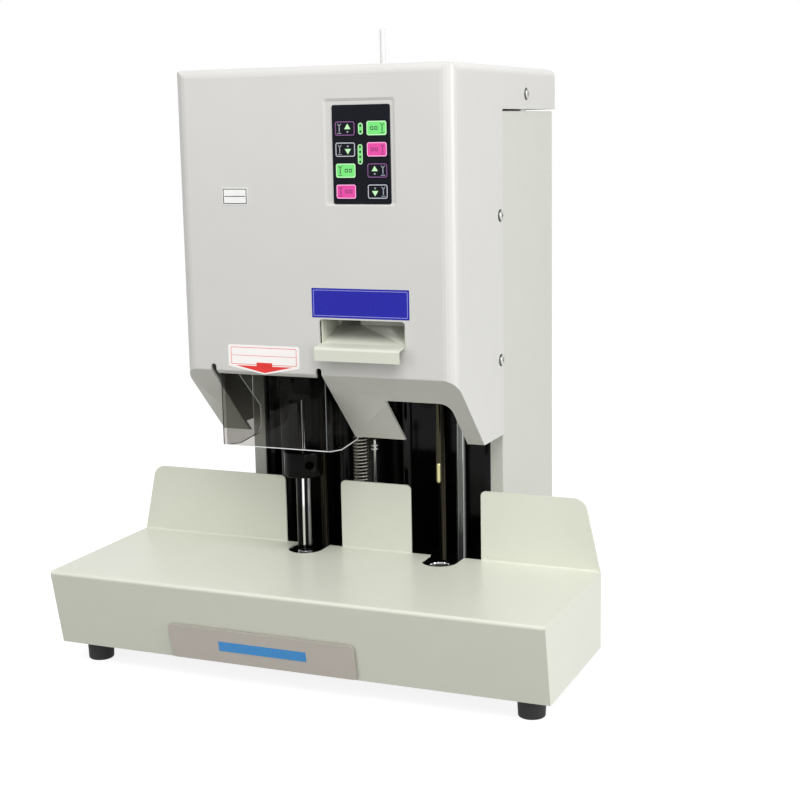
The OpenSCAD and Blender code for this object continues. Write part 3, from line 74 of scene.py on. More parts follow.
def nodeBox(node):  # a CAD node's lowest and highest corner, in mm
    points = [vertex.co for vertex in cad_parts[node].data.vertices]
    return [[round(pick(point[i] for point in points) / mm, 3) for i in range(3)] for pick in (min, max)]


def meshPiece(name, body, points, faces, finish, smooth=False):  # points in mm, in the machine's frame
    data = bpy.data.meshes.new(name)
    data.from_pydata([[c * mm for c in p] for p in points], [], faces)
    bm = bmesh.new()
    bm.from_mesh(data)
    bmesh.ops.recalc_face_normals(bm, faces=bm.faces)
    bm.to_mesh(data)
    bm.free()
    for face in data.polygons:
        face.use_smooth = smooth
    piece = bpy.data.objects.new(name, data)
    bpy.context.scene.collection.objects.link(piece)
    data.materials.append(finish)
    if body:
        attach(piece, body)
    return piece


def softCorners(points, radius, steps=5):  # rounds every corner of a flat outline
    out = []
    for i, corner in enumerate(points):
        here = Vector(corner)
        before = Vector(points[i - 1]) - here
        after = Vector(points[(i + 1) % len(points)]) - here
        half = before.angle(after) / 2
        r = radius[i] if isinstance(radius, (list, tuple)) else radius
        centre = here + (before.normalized() + after.normalized()).normalized() * r / math.sin(half)
        a = here + before.normalized() * r / math.tan(half) - centre
        b = here + after.normalized() * r / math.tan(half) - centre
        start = math.atan2(a.y, a.x)
        turn = (math.atan2(b.y, b.x) - start + math.pi) % (2 * math.pi) - math.pi
        out += [(centre.x + r * math.cos(start + turn * k / steps),
                 centre.y + r * math.sin(start + turn * k / steps)) for k in range(steps + 1)]
    return out


def boxOutline(box, radius, inset=0.0):  # box is left, bottom, right, top; inset draws it in all round
    x0, z0, x1, z1 = box[0] + inset, box[1] + inset, box[2] - inset, box[3] - inset
    return softCorners([(x0, z0), (x1, z0), (x1, z1), (x0, z1)], radius)


def prism(n):  # faces of a solid between two loops of n points
    sides = [(i, (i + 1) % n, n + (i + 1) % n, n + i) for i in range(n)]
    return [tuple(range(n)), tuple(range(2 * n - 1, n - 1, -1))] + sides


def printedPiece(name, body, outline, place, depth, finish, hole=None):
    # a thin flat piece: place turns (u, v, lift) into a point, depth is how far it stands off its carrier
    if not hole:
        points = [place(u, v, w) for w in depth for u, v in outline]
        return meshPiece(name, body, points, prism(len(outline)), finish)
    n = len(outline)  # a ring between two outlines with the same number of points
    points = [place(u, v, w) for w in depth for loop in (outline, hole) for u, v in loop]
    faces = []
    for i in range(n):
        j = (i + 1) % n
        faces += [(i, j, n + j, n + i), (2 * n + i, 3 * n + i, 3 * n + j, 2 * n + j),
                  (i, 2 * n + i, 2 * n + j, j), (n + i, n + j, 3 * n + j, 3 * n + i)]
    return meshPiece(name, body, points, faces, finish)


def onFace(y):  # places a flat print on a face that looks forward
    return lambda x, z, w: (x, y - w, z)


headFront, headSide = nodeBox("head_cover")[0][1], nodeBox("head_cover")[1][0]
print("head front at", headFront, "and its side at", headSide)


# camera, as the photograph's view

view = {"place": (639, -1405, 525), "turn": 23.09, "down": 10.12, "roll": -1.08, "lens": 69.07, "sensor": 36,
        "near": 50, "far": 20000}


def makeCamera(v):
    turn, down, roll = (math.radians(v[k]) for k in ("turn", "down", "roll"))
    look = Vector((-math.sin(turn) * math.cos(down), math.cos(turn) * math.cos(down), -math.sin(down)))
    right = look.cross(Vector((0, 0, 1))).normalized()
    up = right.cross(look)
    x = right * math.cos(roll) + up * math.sin(roll)
    y = up * math.cos(roll) - right * math.sin(roll)
    data = bpy.data.cameras.new("photoCamera")
    data.sensor_width, data.lens = v["sensor"], v["lens"]
    data.clip_start, data.clip_end = v["near"] * mm, v["far"] * mm
    camera = bpy.data.objects.new("photoCamera", data)
    bpy.context.scene.collection.objects.link(camera)
    camera.matrix_world = Matrix((x, y, -look)).transposed().to_4x4()
    camera.location = Vector(v["place"]) * mm
    bpy.context.scene.camera = camera


makeCamera(view)
print("camera placed")


# finishes

plainLook = {"tone": "808080", "tone2": None, "metallic": 0.0, "roughness": 0.5, "spread": 0.08, "ior": 1.5,
             "smoothest": 0.02, "shine": 0.5, "through": 0.0, "glow": 0.0, "patchMm": 40.0, "patchDetail": 3.0,
             "grainMm": 1.2, "grainDetail": 2.0, "stretch": (1, 1, 1), "bumpMm": 0.02, "bumpStrength": 0.6,
             "specks": None, "paintedStreaks": (), "paintedStreakCore": 0.4, "beyond": None}


def mixTone(tree, amount, colour, hexTone):  # lays one more tone over a colour where the amount says
    mix = addNode(tree, "ShaderNodeMix", {"data_type": "RGBA", 7: linear(hexTone)}, {0: amount, 6: colour})
    return mix.outputs[2]


def noiseTones(tree, amount, tone, tone2):  # two tones, shared out by a noise
    mix = addNode(tree, "ShaderNodeMix", {"data_type": "RGBA", 6: linear(tone), 7: linear(tone2)}, {0: amount})
    return mix.outputs[2]


def addSpecks(tree, coords, colour, specks):  # small dots: their tone, how far apart in mm, and how wide
    hexTone, apartMm, width = specks
    dots = addNode(tree, "ShaderNodeTexVoronoi", {"Scale": 1000 / apartMm},
                   {"Vector": coords.outputs["Object"]})
    mask = addNode(tree, "ShaderNodeMapRange",
                   {"From Min": 0.0, "From Max": width, "To Min": 1.0, "To Max": 0.0},
                   {"Value": dots.outputs["Distance"]})
    return mixTone(tree, mask.outputs["Result"], colour, hexTone)


def addPaintedReflections(tree, coords, colour, look):
    # painted reflections: bands of colour along a round bar, each at its own bearing in degrees, where the bar
    # would mirror a lamp or the dark
    facing = addNode(tree, "ShaderNodeSeparateXYZ", None, {"Vector": coords.outputs["Normal"]})
    bearing = addNode(tree, "ShaderNodeMath", {"operation": "ARCTAN2"},
                      {0: facing.outputs["Y"], 1: facing.outputs["X"]})
    for middle, half, hexTone in look["paintedStreaks"]:
        off = addNode(tree, "ShaderNodeMath", {"operation": "SUBTRACT", 1: math.radians(middle)},
                      {0: bearing.outputs[0]})
        distance = addNode(tree, "ShaderNodeMath", {"operation": "ABSOLUTE"}, {0: off.outputs[0]})
        band = addNode(tree, "ShaderNodeMapRange",
                       {"From Min": math.radians(half * look["paintedStreakCore"]), "From Max": math.radians(half),
                        "To Min": 1.0, "To Max": 0.0}, {"Value": distance.outputs[0]})
        colour = mixTone(tree, band.outputs["Result"], colour, hexTone)
    return colour


def addBeyond(tree, coords, colour, beyond):  # another tone past a place in mm along one axis
    axis, side, placeMm, hexTone = beyond
    place = addNode(tree, "ShaderNodeSeparateXYZ", None, {"Vector": coords.outputs["Object"]})
    past = addNode(tree, "ShaderNodeMath", {"operation": side, 1: placeMm * mm}, {0: place.outputs[axis]})
    return mixTone(tree, past.outputs[0], colour, hexTone)


def makeFinish(name, ownLook):
    # one real finish: two close tones in soft patches, a fine grain in bump and gloss, all sized in mm
    look = {**plainLook, **ownLook}
    material = bpy.data.materials.new(name)
    tree = emptyTree(material)
    coords = addNode(tree, "ShaderNodeTexCoord")
    stretched = addNode(tree, "ShaderNodeMapping", {"Scale": look["stretch"]},
                        {"Vector": coords.outputs["Object"]})
    patches = addNode(tree, "ShaderNodeTexNoise",
                      {"Scale": 1000 / look["patchMm"], "Detail": look["patchDetail"]},
                      {"Vector": coords.outputs["Object"]})
    grain = addNode(tree, "ShaderNodeTexNoise", {"Scale": 1000 / look["grainMm"], "Detail": look["grainDetail"]},
                    {"Vector": stretched.outputs["Vector"]})
    colour = noiseTones(tree, patches.outputs["Fac"], look["tone"], look["tone2"] or look["tone"])
    if look["specks"]:
        colour = addSpecks(tree, coords, colour, look["specks"])
    # painted reflections, only on the round bars that list them
    if look["paintedStreaks"]:
        colour = addPaintedReflections(tree, coords, colour, look)
    if look["beyond"]:
        colour = addBeyond(tree, coords, colour, look["beyond"])
    gloss = addNode(tree, "ShaderNodeMapRange",
                    {"To Min": max(look["roughness"] - look["spread"], look["smoothest"]),
                     "To Max": look["roughness"] + look["spread"]}, {"Value": grain.outputs["Fac"]})
    relief = addNode(tree, "ShaderNodeBump",
                     {"Strength": look["bumpStrength"], "Distance": look["bumpMm"] * mm},
                     {"Height": grain.outputs["Fac"]})
    shader = addNode(tree, "ShaderNodeBsdfPrincipled",
                     {"Metallic": look["metallic"], "IOR": look["ior"], "Transmission Weight": look["through"],
                      "Specular IOR Level": look["shine"], "Emission Color": linear(look["tone"]),
                      "Emission Strength": look["glow"]},
                     {"Base Color": colour, "Roughness": gloss.outputs["Result"],
                      "Normal": relief.outputs["Normal"]})
    addNode(tree, "ShaderNodeOutputMaterial", None, {"Surface": shader.outputs["BSDF"]})
    return material


finishes = {
    # textured powder coat, sprayed and baked: a dry, even light grey with a fine orange peel
    "headPowderCoat": {"tone": "cfcecb", "tone2": "cbcac7", "roughness": 0.34, "grainMm": 1.1, "bumpMm": 0.03},
    # semi-matt powder coat on folded sheet: warm off-white, soft highlights on the bends
    "trayPowderCoat": {"tone": "d4d6c9", "tone2": "d0d2c4", "roughness": 0.32, "grainMm": 1.3, "bumpMm": 0.02},
    "cabinetPowderCoat": {"tone": "c9cbc2", "tone2": "c5c7be", "roughness": 0.36, "grainMm": 1.3,
                          "bumpMm": 0.02},
    "drawerPowderCoat": {"tone": "beb7ae", "tone2": "bab3aa", "roughness": 0.4, "grainMm": 1.2, "bumpMm": 0.02},
    "basePowderCoat": {"tone": "3a3a38", "tone2": "343432", "roughness": 0.55, "grainMm": 1.2, "bumpMm": 0.03},
    # moulded rubber: black, dusty and dull
    "mouldedRubber": {"tone": "171718", "tone2": "1d1d1e", "roughness": 0.75, "ior": 1.52, "grainMm": 0.9,
                      "bumpMm": 0.05},
    # bright zinc plate: pale metal with a slightly cloudy gloss; here and on the other ground or plated metals
    # the grain is coarser than the real marks, which would be finer than the picture can hold
    "zincPlate": {"tone": "c9cac6", "tone2": "b9bab8", "metallic": 1.0, "roughness": 0.28, "grainMm": 0.8,
                  "bumpMm": 0.01, "patchMm": 4},
    # black oxide: dark steel with a thin oily sheen
    "blackOxide": {"tone": "0b0b0c", "tone2": "101011", "roughness": 0.24, "shine": 0.14, "grainMm": 0.8,
                   "bumpMm": 0.01, "patchMm": 8},
    # black gloss enamel over a casting: deep black that mirrors what stands before it
    "glossEnamel": {"tone": "070707", "tone2": "0a0a0a", "roughness": 0.12, "spread": 0.04, "shine": 0.12,
                    "grainMm": 9, "bumpMm": 0.04},
    # satin black paint inside the machine: swallows the light
    "satinBlack": {"tone": "0a0a0a", "tone2": "0e0e0e", "roughness": 0.38, "shine": 0.12, "grainMm": 2,
                   "bumpMm": 0.02},
    # hard chrome, ground and polished: clear dark and bright streaks along a rod
    "hardChrome": {"tone": "d2d4d6", "tone2": "c9cbce", "metallic": 1.0, "roughness": 0.08, "spread": 0.03,
                   "grainMm": 0.7, "bumpMm": 0.002, "stretch": (1, 1, 8)},
    # riveting tip and its stem: polished steel toned black as a painted reflection of the dark round it, with a
    # narrow bright and a soft grey streak as painted reflections of the lamps
    "steelWithPaintedReflections": {"tone": "161617", "tone2": "101011", "metallic": 1.0, "roughness": 0.1, "spread": 0.03,
                   "grainMm": 0.8, "bumpMm": 0.003, "stretch": (1, 1, 6), "patchMm": 10,
                   "paintedStreaks": ((-72, 9, "e8e8e6"), (-28, 15, "7c7c7e"))},
    # drill guide rods: the left one stands in the dark and is toned near-black as painted shade, the right one is
    # grey chrome with two painted highlight streaks
    "rodChrome": {"tone": "6a6c6c", "tone2": "5e6060", "metallic": 0.7, "roughness": 0.14, "spread": 0.03,
                  "grainMm": 0.7, "bumpMm": 0.002, "stretch": (1, 1, 8),
                  "paintedStreaks": ((-45, 8, "d0d2d1"), (-110, 9, "b0b2b1")),
                  # painted shade: everything left of x 90 is toned near-black
                  "beyond": ("X", "LESS_THAN", 90, "0e0e0e")},
    # hollow drill: olive-gold nitride coat on the cutting end with a broad painted highlight streak down it, dull
    # brown steel above it
    "drillCoat": {"tone": "4d4833", "tone2": "3f3b2b", "metallic": 1.0, "roughness": 0.24, "grainMm": 0.7,
                  "bumpMm": 0.003, "patchMm": 5, "paintedStreaks": ((-68, 40, "c0b98c"),),
                  "beyond": ("Z", "GREATER_THAN", 199, "39362a")},
    # screw steel toned brown-black as painted shade, for the dark inside the head, with brassy glints on the
    # crests
    "shadedScrewSteel": {"tone": "3a362c", "tone2": "26241f", "metallic": 1.0, "roughness": 0.22, "grainMm": 0.8,
                     "bumpMm": 0.01, "patchMm": 5},
    # ground tool steel: fine rings round the axis, half gloss
    "groundSteel": {"tone": "9b9da0", "tone2": "8d8f92", "metallic": 1.0, "roughness": 0.26, "grainMm": 0.8,
                    "bumpMm": 0.004, "stretch": (1, 1, 6), "patchMm": 12},
    # milled aluminium: pale, faint parallel tool marks
    "milledAlloy": {"tone": "b4b6b8", "tone2": "a9abad", "metallic": 1.0, "roughness": 0.34, "grainMm": 1.0,
                    "bumpMm": 0.006, "stretch": (0.2, 3, 1), "patchMm": 30},
    # bearing bronze: warm brown-yellow with darker oil stains
    "bearingBronze": {"tone": "a8793f", "tone2": "7d5a30", "metallic": 1.0, "roughness": 0.3, "grainMm": 0.9,
                      "bumpMm": 0.006, "patchMm": 7},
    # black motor enamel: half-gloss black
    "motorEnamel": {"tone": "0d0e0f", "tone2": "111213", "roughness": 0.32, "shine": 0.15, "grainMm": 1.5,
                    "bumpMm": 0.01},
    # heater collar in black stove enamel, browned by the heat: glossy, darker than the shade round it
    "stoveEnamel": {"tone": "050505", "tone2": "080807", "roughness": 0.2, "shine": 0.07, "grainMm": 0.9,
                    "bumpMm": 0.01, "patchMm": 9},
    # drawn spring wire: bright, with fine lines along it
    "springWire": {"tone": "c9c6bc", "tone2": "b9b6ac", "metallic": 0.75, "roughness": 0.25, "grainMm": 0.6,
                   "bumpMm": 0.004, "patchMm": 6},
    # edges of the acrylic as painted light and shade: where the flame-polished edges gather light a pale line
    # with a painted glow, on the right fold a grey half-shade line, and in the shade a dark grey line
    "paintedLitEdge": {"tone": "c9ccca", "tone2": "bfc2c0", "roughness": 0.2, "glow": 0.5, "grainMm": 0.8,
                     "bumpMm": 0.004},
    "paintedHalfShadeEdge": {"tone": "6f7170", "tone2": "676968", "roughness": 0.2, "grainMm": 0.8, "bumpMm": 0.004},
    "shadedEdge": {"tone": "2e2f2e", "tone2": "262726", "roughness": 0.3, "grainMm": 0.8, "bumpMm": 0.004},
    # neoprene belt: dull black
    "neopreneBelt": {"tone": "151515", "tone2": "1a1a1a", "roughness": 0.7, "grainMm": 1.2, "bumpMm": 0.03},
    # feed guide of white polyethylene: waxy, faintly clouded
    "waxyPad": {"tone": "dfe0da", "tone2": "cfcfc6", "roughness": 0.4, "grainMm": 1.4, "bumpMm": 0.03,
                "patchMm": 6},
    # cutting pad of black nylon, scarred all over by the drill
    "darkPad": {"tone": "191918", "tone2": "242422", "roughness": 0.35, "shine": 0.3, "grainMm": 1.4,
                "bumpMm": 0.08, "patchMm": 6},
    # extruded nylon: milky, lets some light through
    "milkyNylon": {"tone": "eeeeec", "tone2": "e6e7e6", "roughness": 0.3, "ior": 1.53, "through": 0.3,
                   "grainMm": 2, "bumpMm": 0.01},
    # polyester membrane: near-black with a faint blue cast and a leather-fine grain
    "membraneInk": {"tone": "090c14", "tone2": "0c0f18", "roughness": 0.42, "shine": 0.1, "grainMm": 0.8,
                    "bumpMm": 0.01},
    # epoxy circuit board: green varnish with dull gold pads
    "boardVarnish": {"tone": "1f5c3a", "tone2": "1a5033", "roughness": 0.3, "grainMm": 2, "bumpMm": 0.01,
                     "specks": ("b9a25a", 6, 0.12)},
    # moulded black plastic: fine spark grain
    "mouldedBlack": {"tone": "141415", "tone2": "18181a", "roughness": 0.45, "grainMm": 0.9, "bumpMm": 0.03},
    # folded zinc sheet: dull grey metal with faint crystal patches
    "foldedZinc": {"tone": "a9acae", "tone2": "989b9e", "metallic": 1.0, "roughness": 0.36, "grainMm": 2,
                   "bumpMm": 0.004, "patchMm": 10},
    # brushed name plate: fine level lines
    "brushedPlate": {"tone": "d8d8d6", "tone2": "cbcbc9", "metallic": 0.6, "roughness": 0.35, "grainMm": 0.6,
                     "bumpMm": 0.003, "stretch": (0.1, 1, 4), "patchMm": 10},
}
inks = {  # vinyl labels and inks, smooth, a little glossier than the paint below: two tones and a roughness
    "whiteVinyl": ("fbf7f5", "f7f3f1", 0.3), "redInk": ("e62b26", "dc2722", 0.32),
    "paleBlueInk": ("8c92d8", "868cd2", 0.3), "skyVinyl": ("2f90d6", "2b8ace", 0.28),
    "blackInk": ("141414", "181818", 0.4), "greenKeyInk": ("70e374", "6cdc70", 0.35),
    "paleGreenInk": ("c4f7be", "bdf0b7", 0.35), "magentaKeyInk": ("e640a4", "de3a9c", 0.35),
    "palePinkInk": ("fbaedd", "f5a6d6", 0.35), "purpleInk": ("7a4682", "72407a", 0.35),
    "silverInk": ("b9bcc6", "b1b4be", 0.35), "darkLegendInk": ("12301f", "163524", 0.4),
    "plumLegendInk": ("6a1550", "701a56", 0.4), "greyLegendInk": ("a3a8b4", "9ba0ac", 0.4),
}
for name, (tone, tone2, roughness) in inks.items():
    finishes[name] = {"tone": tone, "tone2": tone2, "roughness": roughness, "bumpMm": 0.004}
# the big sticker's deep blue film mirrors less than its neighbours, so it keeps its colour
finishes["blueVinyl"] = {"tone": "1717a6", "tone2": "14149a", "roughness": 0.25, "shine": 0.3, "bumpMm": 0.004}
made = {name: makeFinish(name, look) for name, look in finishes.items()}

acrylicLook = {"tone": "e2e1df", "tone2": "dddcda", "hazeMm": 25, "hazeDetail": 3.0, "smoothest": 0.01,
               "roughest": 0.05, "ior": 1.49, "mirror": 0.03}


def makeSmokedAcrylic(a):  # cast acrylic, smoked: clear grey sheet that mirrors a little
    material = bpy.data.materials.new("smokedAcrylic")
    tree = emptyTree(material)
    coords = addNode(tree, "ShaderNodeTexCoord")
    haze = addNode(tree, "ShaderNodeTexNoise", {"Scale": 1000 / a["hazeMm"], "Detail": a["hazeDetail"]},
                   {"Vector": coords.outputs["Object"]})
    gloss = addNode(tree, "ShaderNodeMapRange", {"To Min": a["smoothest"], "To Max": a["roughest"]},
                    {"Value": haze.outputs["Fac"]})
    tone = noiseTones(tree, haze.outputs["Fac"], a["tone"], a["tone2"])
    shader = addNode(tree, "ShaderNodeBsdfPrincipled", {"IOR": a["ior"], "Transmission Weight": 1.0},
                     {"Base Color": tone, "Roughness": gloss.outputs["Result"]})
    clear = addNode(tree, "ShaderNodeBsdfTransparent", None, {"Color": tone})
    sheet = addNode(tree, "ShaderNodeMixShader", {0: a["mirror"]},
                    {1: clear.outputs[0], 2: shader.outputs["BSDF"]})
    addNode(tree, "ShaderNodeOutputMaterial", None, {"Surface": sheet.outputs[0]})
    return material


made["smokedAcrylic"] = makeSmokedAcrylic(acrylicLook)
print("finishes made:", len(made))


# CAD nodes that keep their shape

dressing = {  # node: (finish, bevel in mm)
    # tray, drawer and foot
    "paper_tray": ("trayPowderCoat", 0.5), "base_frame": ("basePowderCoat", 0.5),
    "rubber_feet": ("mouldedRubber", 0.6), "scrap_drawer": ("drawerPowderCoat", 0.35),
    # cabinet and head
    "rear_cabinet": ("cabinetPowderCoat", 0.5), "back_panel": ("cabinetPowderCoat", 0.3),
    "panel_screws": ("zincPlate", 0.15), "head_cover": ("headPowderCoat", 0.7),
    "cover_screws": ("zincPlate", 0.2),
    # frame
    "main_frame": ("glossEnamel", 1.0), "bed_plate": ("satinBlack", 0.6), "top_plate": ("satinBlack", 0.6),
    "frame_bolts": ("blackOxide", 0.3),
    # riveting station
    "press_guide_rods": ("blackOxide", 0.4), "press_carriage": ("blackOxide", 0.5),
    "press_bearings": ("bearingBronze", 0.3), "press_feed_screw": ("groundSteel", 0.3),
    "press_feed_motor": ("motorEnamel", 0.5), "press_ram": ("steelWithPaintedReflections", 0.2),
    "heater_collar": ("stoveEnamel", 0.4), "lower_die": ("groundSteel", 0.3), "return_spring": ("springWire", 0),
    "spring_rod": ("blackOxide", 0.3), "stop_rod": ("zincPlate", 0.15),
    # drilling station
    "drill_guide_rods": ("rodChrome", 0.4), "drill_carriage": ("blackOxide", 0.5),
    "drill_bearings": ("bearingBronze", 0.3), "drill_feed_screw": ("groundSteel", 0.3),
    "drill_feed_motor": ("motorEnamel", 0.5), "spindle_housing": ("milledAlloy", 0.5),
    "drill_spindle": ("groundSteel", 0.3), "hollow_drill": ("drillCoat", 0),
    "drill_motor": ("motorEnamel", 0.5), "motor_pulley": ("milledAlloy", 0.3),
    "drive_belt": ("neopreneBelt", 0.3), "cutting_pad": ("darkPad", 0.3), "pad_cup": ("hardChrome", 0.2),
    "pad_motor": ("motorEnamel", 0.5),
    # nylon tube and its way through the head
    "tube_feeder": ("milledAlloy", 0.3), "drive_roller": ("groundSteel", 0.3),
    "pinch_roller": ("groundSteel", 0.3), "nylon_tube": ("milkyNylon", 0.1), "tube_guide": ("waxyPad", 0.2),
    "tube_chute": ("trayPowderCoat", 0.3),
    # guard, keys and electrics
    "guard": ("smokedAcrylic", 0.3), "guard_hinge": ("blackOxide", 0.3), "keypad_panel": ("membraneInk", 0.1),
    "key_board": ("boardVarnish", 0.1), "control_board": ("boardVarnish", 0.2),
    "power_supply": ("foldedZinc", 0.3), "mains_inlet": ("mouldedBlack", 0.3),
    "power_rocker": ("mouldedBlack", 0.4),
}
for number in range(1, 9):
    dressing["key_%d" % number] = ("membraneInk", 0.1)
bevelLook = {"weld": 0.002, "segments": 2, "sharpest": 32}  # mm, cuts and degrees


def dressNode(node, finish, bevelMm, b):
    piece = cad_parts[node]
    piece.data.materials.clear()
    piece.data.materials.append(made[finish])
    if bevelMm:
        weld = piece.modifiers.new("weld", "WELD")
        weld.merge_threshold = b["weld"] * mm
        bevel = piece.modifiers.new("bevel", "BEVEL")
        bevel.width, bevel.segments, bevel.limit_method = bevelMm * mm, b["segments"], "ANGLE"
        bevel.angle_limit = math.radians(b["sharpest"])
        bevel.harden_normals = True


for node, (finish, bevelMm) in dressing.items():
    dressNode(node, finish, bevelMm, bevelLook)
print("CAD nodes dressed:", len(dressing))


# painted shade: a black ring round each cross screw in the head cover's sides, where the gap round its head lies
# in shade

shadeLook = {"reach": 1.7, "lift": 0.12, "apart": 12, "steps": 24}


def screwHeads(node, apart):  # the points of each screw, told from the others by side and distance
    heads = []
    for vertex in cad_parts[node].data.vertices:
        x, y, z = (c / mm for c in vertex.co)
        near = [h for h in heads if (h[0][0] > 0) == (x > 0) and math.dist(h[0][1:], (y, z)) < apart]
        if near:
            near[0].append((x, y, z))
        else:
            heads.append([(x, y, z)])
    return heads


def makeScrewShades(s):
    turn = [2 * math.pi * k / s["steps"] for k in range(s["steps"])]
    for number, points in enumerate(screwHeads("cover_screws", s["apart"])):
        side = 1 if points[0][0] > 0 else -1
        low, high = ([pick(p[i] for p in points) for i in (1, 2)] for pick in (min, max))
        y, z = ((a + b) / 2 for a, b in zip(low, high))
        inner = (high[0] - low[0]) / 2
        ring = [[(math.cos(a) * r, math.sin(a) * r) for a in turn] for r in (inner + s["reach"], inner)]
        printedPiece("screwShade%d" % (number + 1), "machine", ring[0],
                             lambda u, v, w: (side * (headSide + w), y + u, z + v), (0, s["lift"]),
                             made["blackInk"], ring[1])


makeScrewShades(shadeLook)
print("screws shaded")


# return spring, a real coil between the bed and the carriage's arm

springLook = {"wire": 1.8, "pitch": 3.5, "closedTurns": 1.5, "ringPoints": 8, "pointsPerTurn": 28}


def makeReturnSpring(s):
    low, high = nodeBox("return_spring")
    centre = ((low[0] + high[0]) / 2, (low[1] + high[1]) / 2)
    bottom, top = low[2], high[2]
    length = top - bottom - s["wire"]
    closed = s["closedTurns"] * s["wire"]
    turns = (length - 2 * closed) / s["pitch"] + 2 * s["closedTurns"]
    radius = (high[0] - low[0] - s["wire"]) / 2
    count, n = int(turns * s["pointsPerTurn"]), s["ringPoints"]
    points, faces = [], []
    for i in range(count + 1):
        t = turns * i / count
        if t < s["closedTurns"]:
            z = t * s["wire"]
        elif t > turns - s["closedTurns"]:
            z = length - (turns - t) * s["wire"]
        else:
            z = closed + (t - s["closedTurns"]) * s["pitch"]
        a = 2 * math.pi * t
        for k in range(n):
            b = 2 * math.pi * k / n
            r = radius + s["wire"] / 2 * math.cos(b)
            points.append((centre[0] + r * math.cos(a), centre[1] + r * math.sin(a),
                           bottom + s["wire"] / 2 + z + s["wire"] / 2 * math.sin(b)))
    for i in range(count):
        for k in range(n):
            j = (k + 1) % n
            faces.append((i * n + k, i * n + j, (i + 1) * n + j, (i + 1) * n + k))
    faces += [tuple(range(n - 1, -1, -1)), tuple(range(count * n, (count + 1) * n))]
    spring = meshPiece("coilSpring", None, points, faces, made["springWire"], smooth=True)
    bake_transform(spring)
    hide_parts("return_spring")


makeReturnSpring(springLook)
print("spring wound")


# feed screws with a real thread

threadLook = {"outer": 10, "journal": 8, "lead": 8, "starts": 4, "depth": 1.0, "crest": 0.25, "flank": 2.5,
              "from": 80.3, "to": 462, "collarGap": 0.2, "collarTo": 469.7, "chamfer": 0.5, "collarChamfer": 0.4,
              "point": 0.001, "stepMm": 0.5, "steps": 32}


def makeFeedScrew(name, node, body, s):
    low, high = nodeBox(node)
    x, y = (low[0] + high[0]) / 2, (low[1] + high[1]) / 2
    bottom, top = low[2], high[2]
    r, j, collar = s["outer"] / 2, s["journal"] / 2, (high[0] - low[0]) / 2
    cut, round0, collarFrom = s["chamfer"], s["collarChamfer"], s["to"] + s["collarGap"]
    rows = int((s["to"] - s["from"]) / s["stepMm"])
    profile = [(s["point"], bottom), (j - cut, bottom), (j, bottom + cut), (j, s["from"])]
    profile += [(r, s["from"] + i * s["stepMm"]) for i in range(rows + 1)]
    profile += [(j, collarFrom), (collar - round0, collarFrom), (collar, collarFrom + round0),
                (collar, s["collarTo"] - round0), (collar - round0, s["collarTo"]), (j, s["collarTo"]),
                (j, top - cut), (j - cut, top), (s["point"], top)]

    def threaded(radius, height, angle):  # four starts cut into the long middle part alone
        if radius != r:
            return radius
        phase = (height / s["lead"] - angle / (2 * math.pi)) * s["starts"] % 1
        return radius - s["depth"] * min(1, max(0, s["flank"] * abs(phase - 0.5) - s["crest"]))

    n = s["steps"]
    angles = [2 * math.pi * k / n for k in range(n)]
    points = [(x + threaded(radius, height, a) * math.cos(a), y + threaded(radius, height, a) * math.sin(a),
               height) for radius, height in profile for a in angles]
    faces = [(i * n + k, i * n + (k + 1) % n, (i + 1) * n + (k + 1) % n, (i + 1) * n + k)
             for i in range(len(profile) - 1) for k in range(n)]
    screw = meshPiece(name, body, points, faces, made["shadedScrewSteel"], smooth=True)
    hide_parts(node)


makeFeedScrew("pressScrewThread", "press_feed_screw", "press_screw", threadLook)
makeFeedScrew("drillScrewThread", "drill_feed_screw", "drill_screw", threadLook)
print("feed screws cut")


# printed keys

keyLook = {"width": 20.4, "height": 13.6, "print": 0.05, "rimWidth": 0.9, "rimInset": 0.35, "rimCorner": 2.0,
           "innerCorner": 1.2, "groundInset": 0.5}
signLook = {"drillAway": 5.6, "markAway": 2.6,  # from the key's middle to the drill sign and to the mark
            "funnel": ((-2.0, 4.4), (-1.3, 4.4), (0, 2.6), (1.3, 4.4), (2.0, 4.4), (0.45, 1.9), (-0.45, 1.9)),
            "stem": ((-0.45, 1.5), (-0.45, -2.6), (0, -3.4), (0.45, -2.6), (0.45, 1.5)),
            "base": (-2.0, -4.6, 2.0, -4.0), "baseCorner": 0.2,
            "arrow": ((-3.1, -0.6), (3.1, -0.6), (0, 4.3)), "dot": (-0.8, -3.8, 0.8, -2.2), "dotCorner": 0.7,
            "square": (-3.6, -1.6, -0.4, 1.6), "bar": (0.6, -1.6, 3.6, 1.6), "line": 0.7, "boxCorner": 0.3}
keyKinds = {1: ("dark", "purpleInk", "up", "left"), 2: ("greenKeyInk", "paleGreenInk", "drill", "right"),
            3: ("dark", "silverInk", "down", "left"), 4: ("magentaKeyInk", "palePinkInk", "drill", "right"),
            5: ("greenKeyInk", "paleGreenInk", "drill", "left"), 6: ("dark", "purpleInk", "up", "right"),
            7: ("magentaKeyInk", "palePinkInk", "drill", "left"), 8: ("dark", "silverInk", "down", "right")}


def moved(outline, across, up):
    return [(u + across, v + up) for u, v in outline]


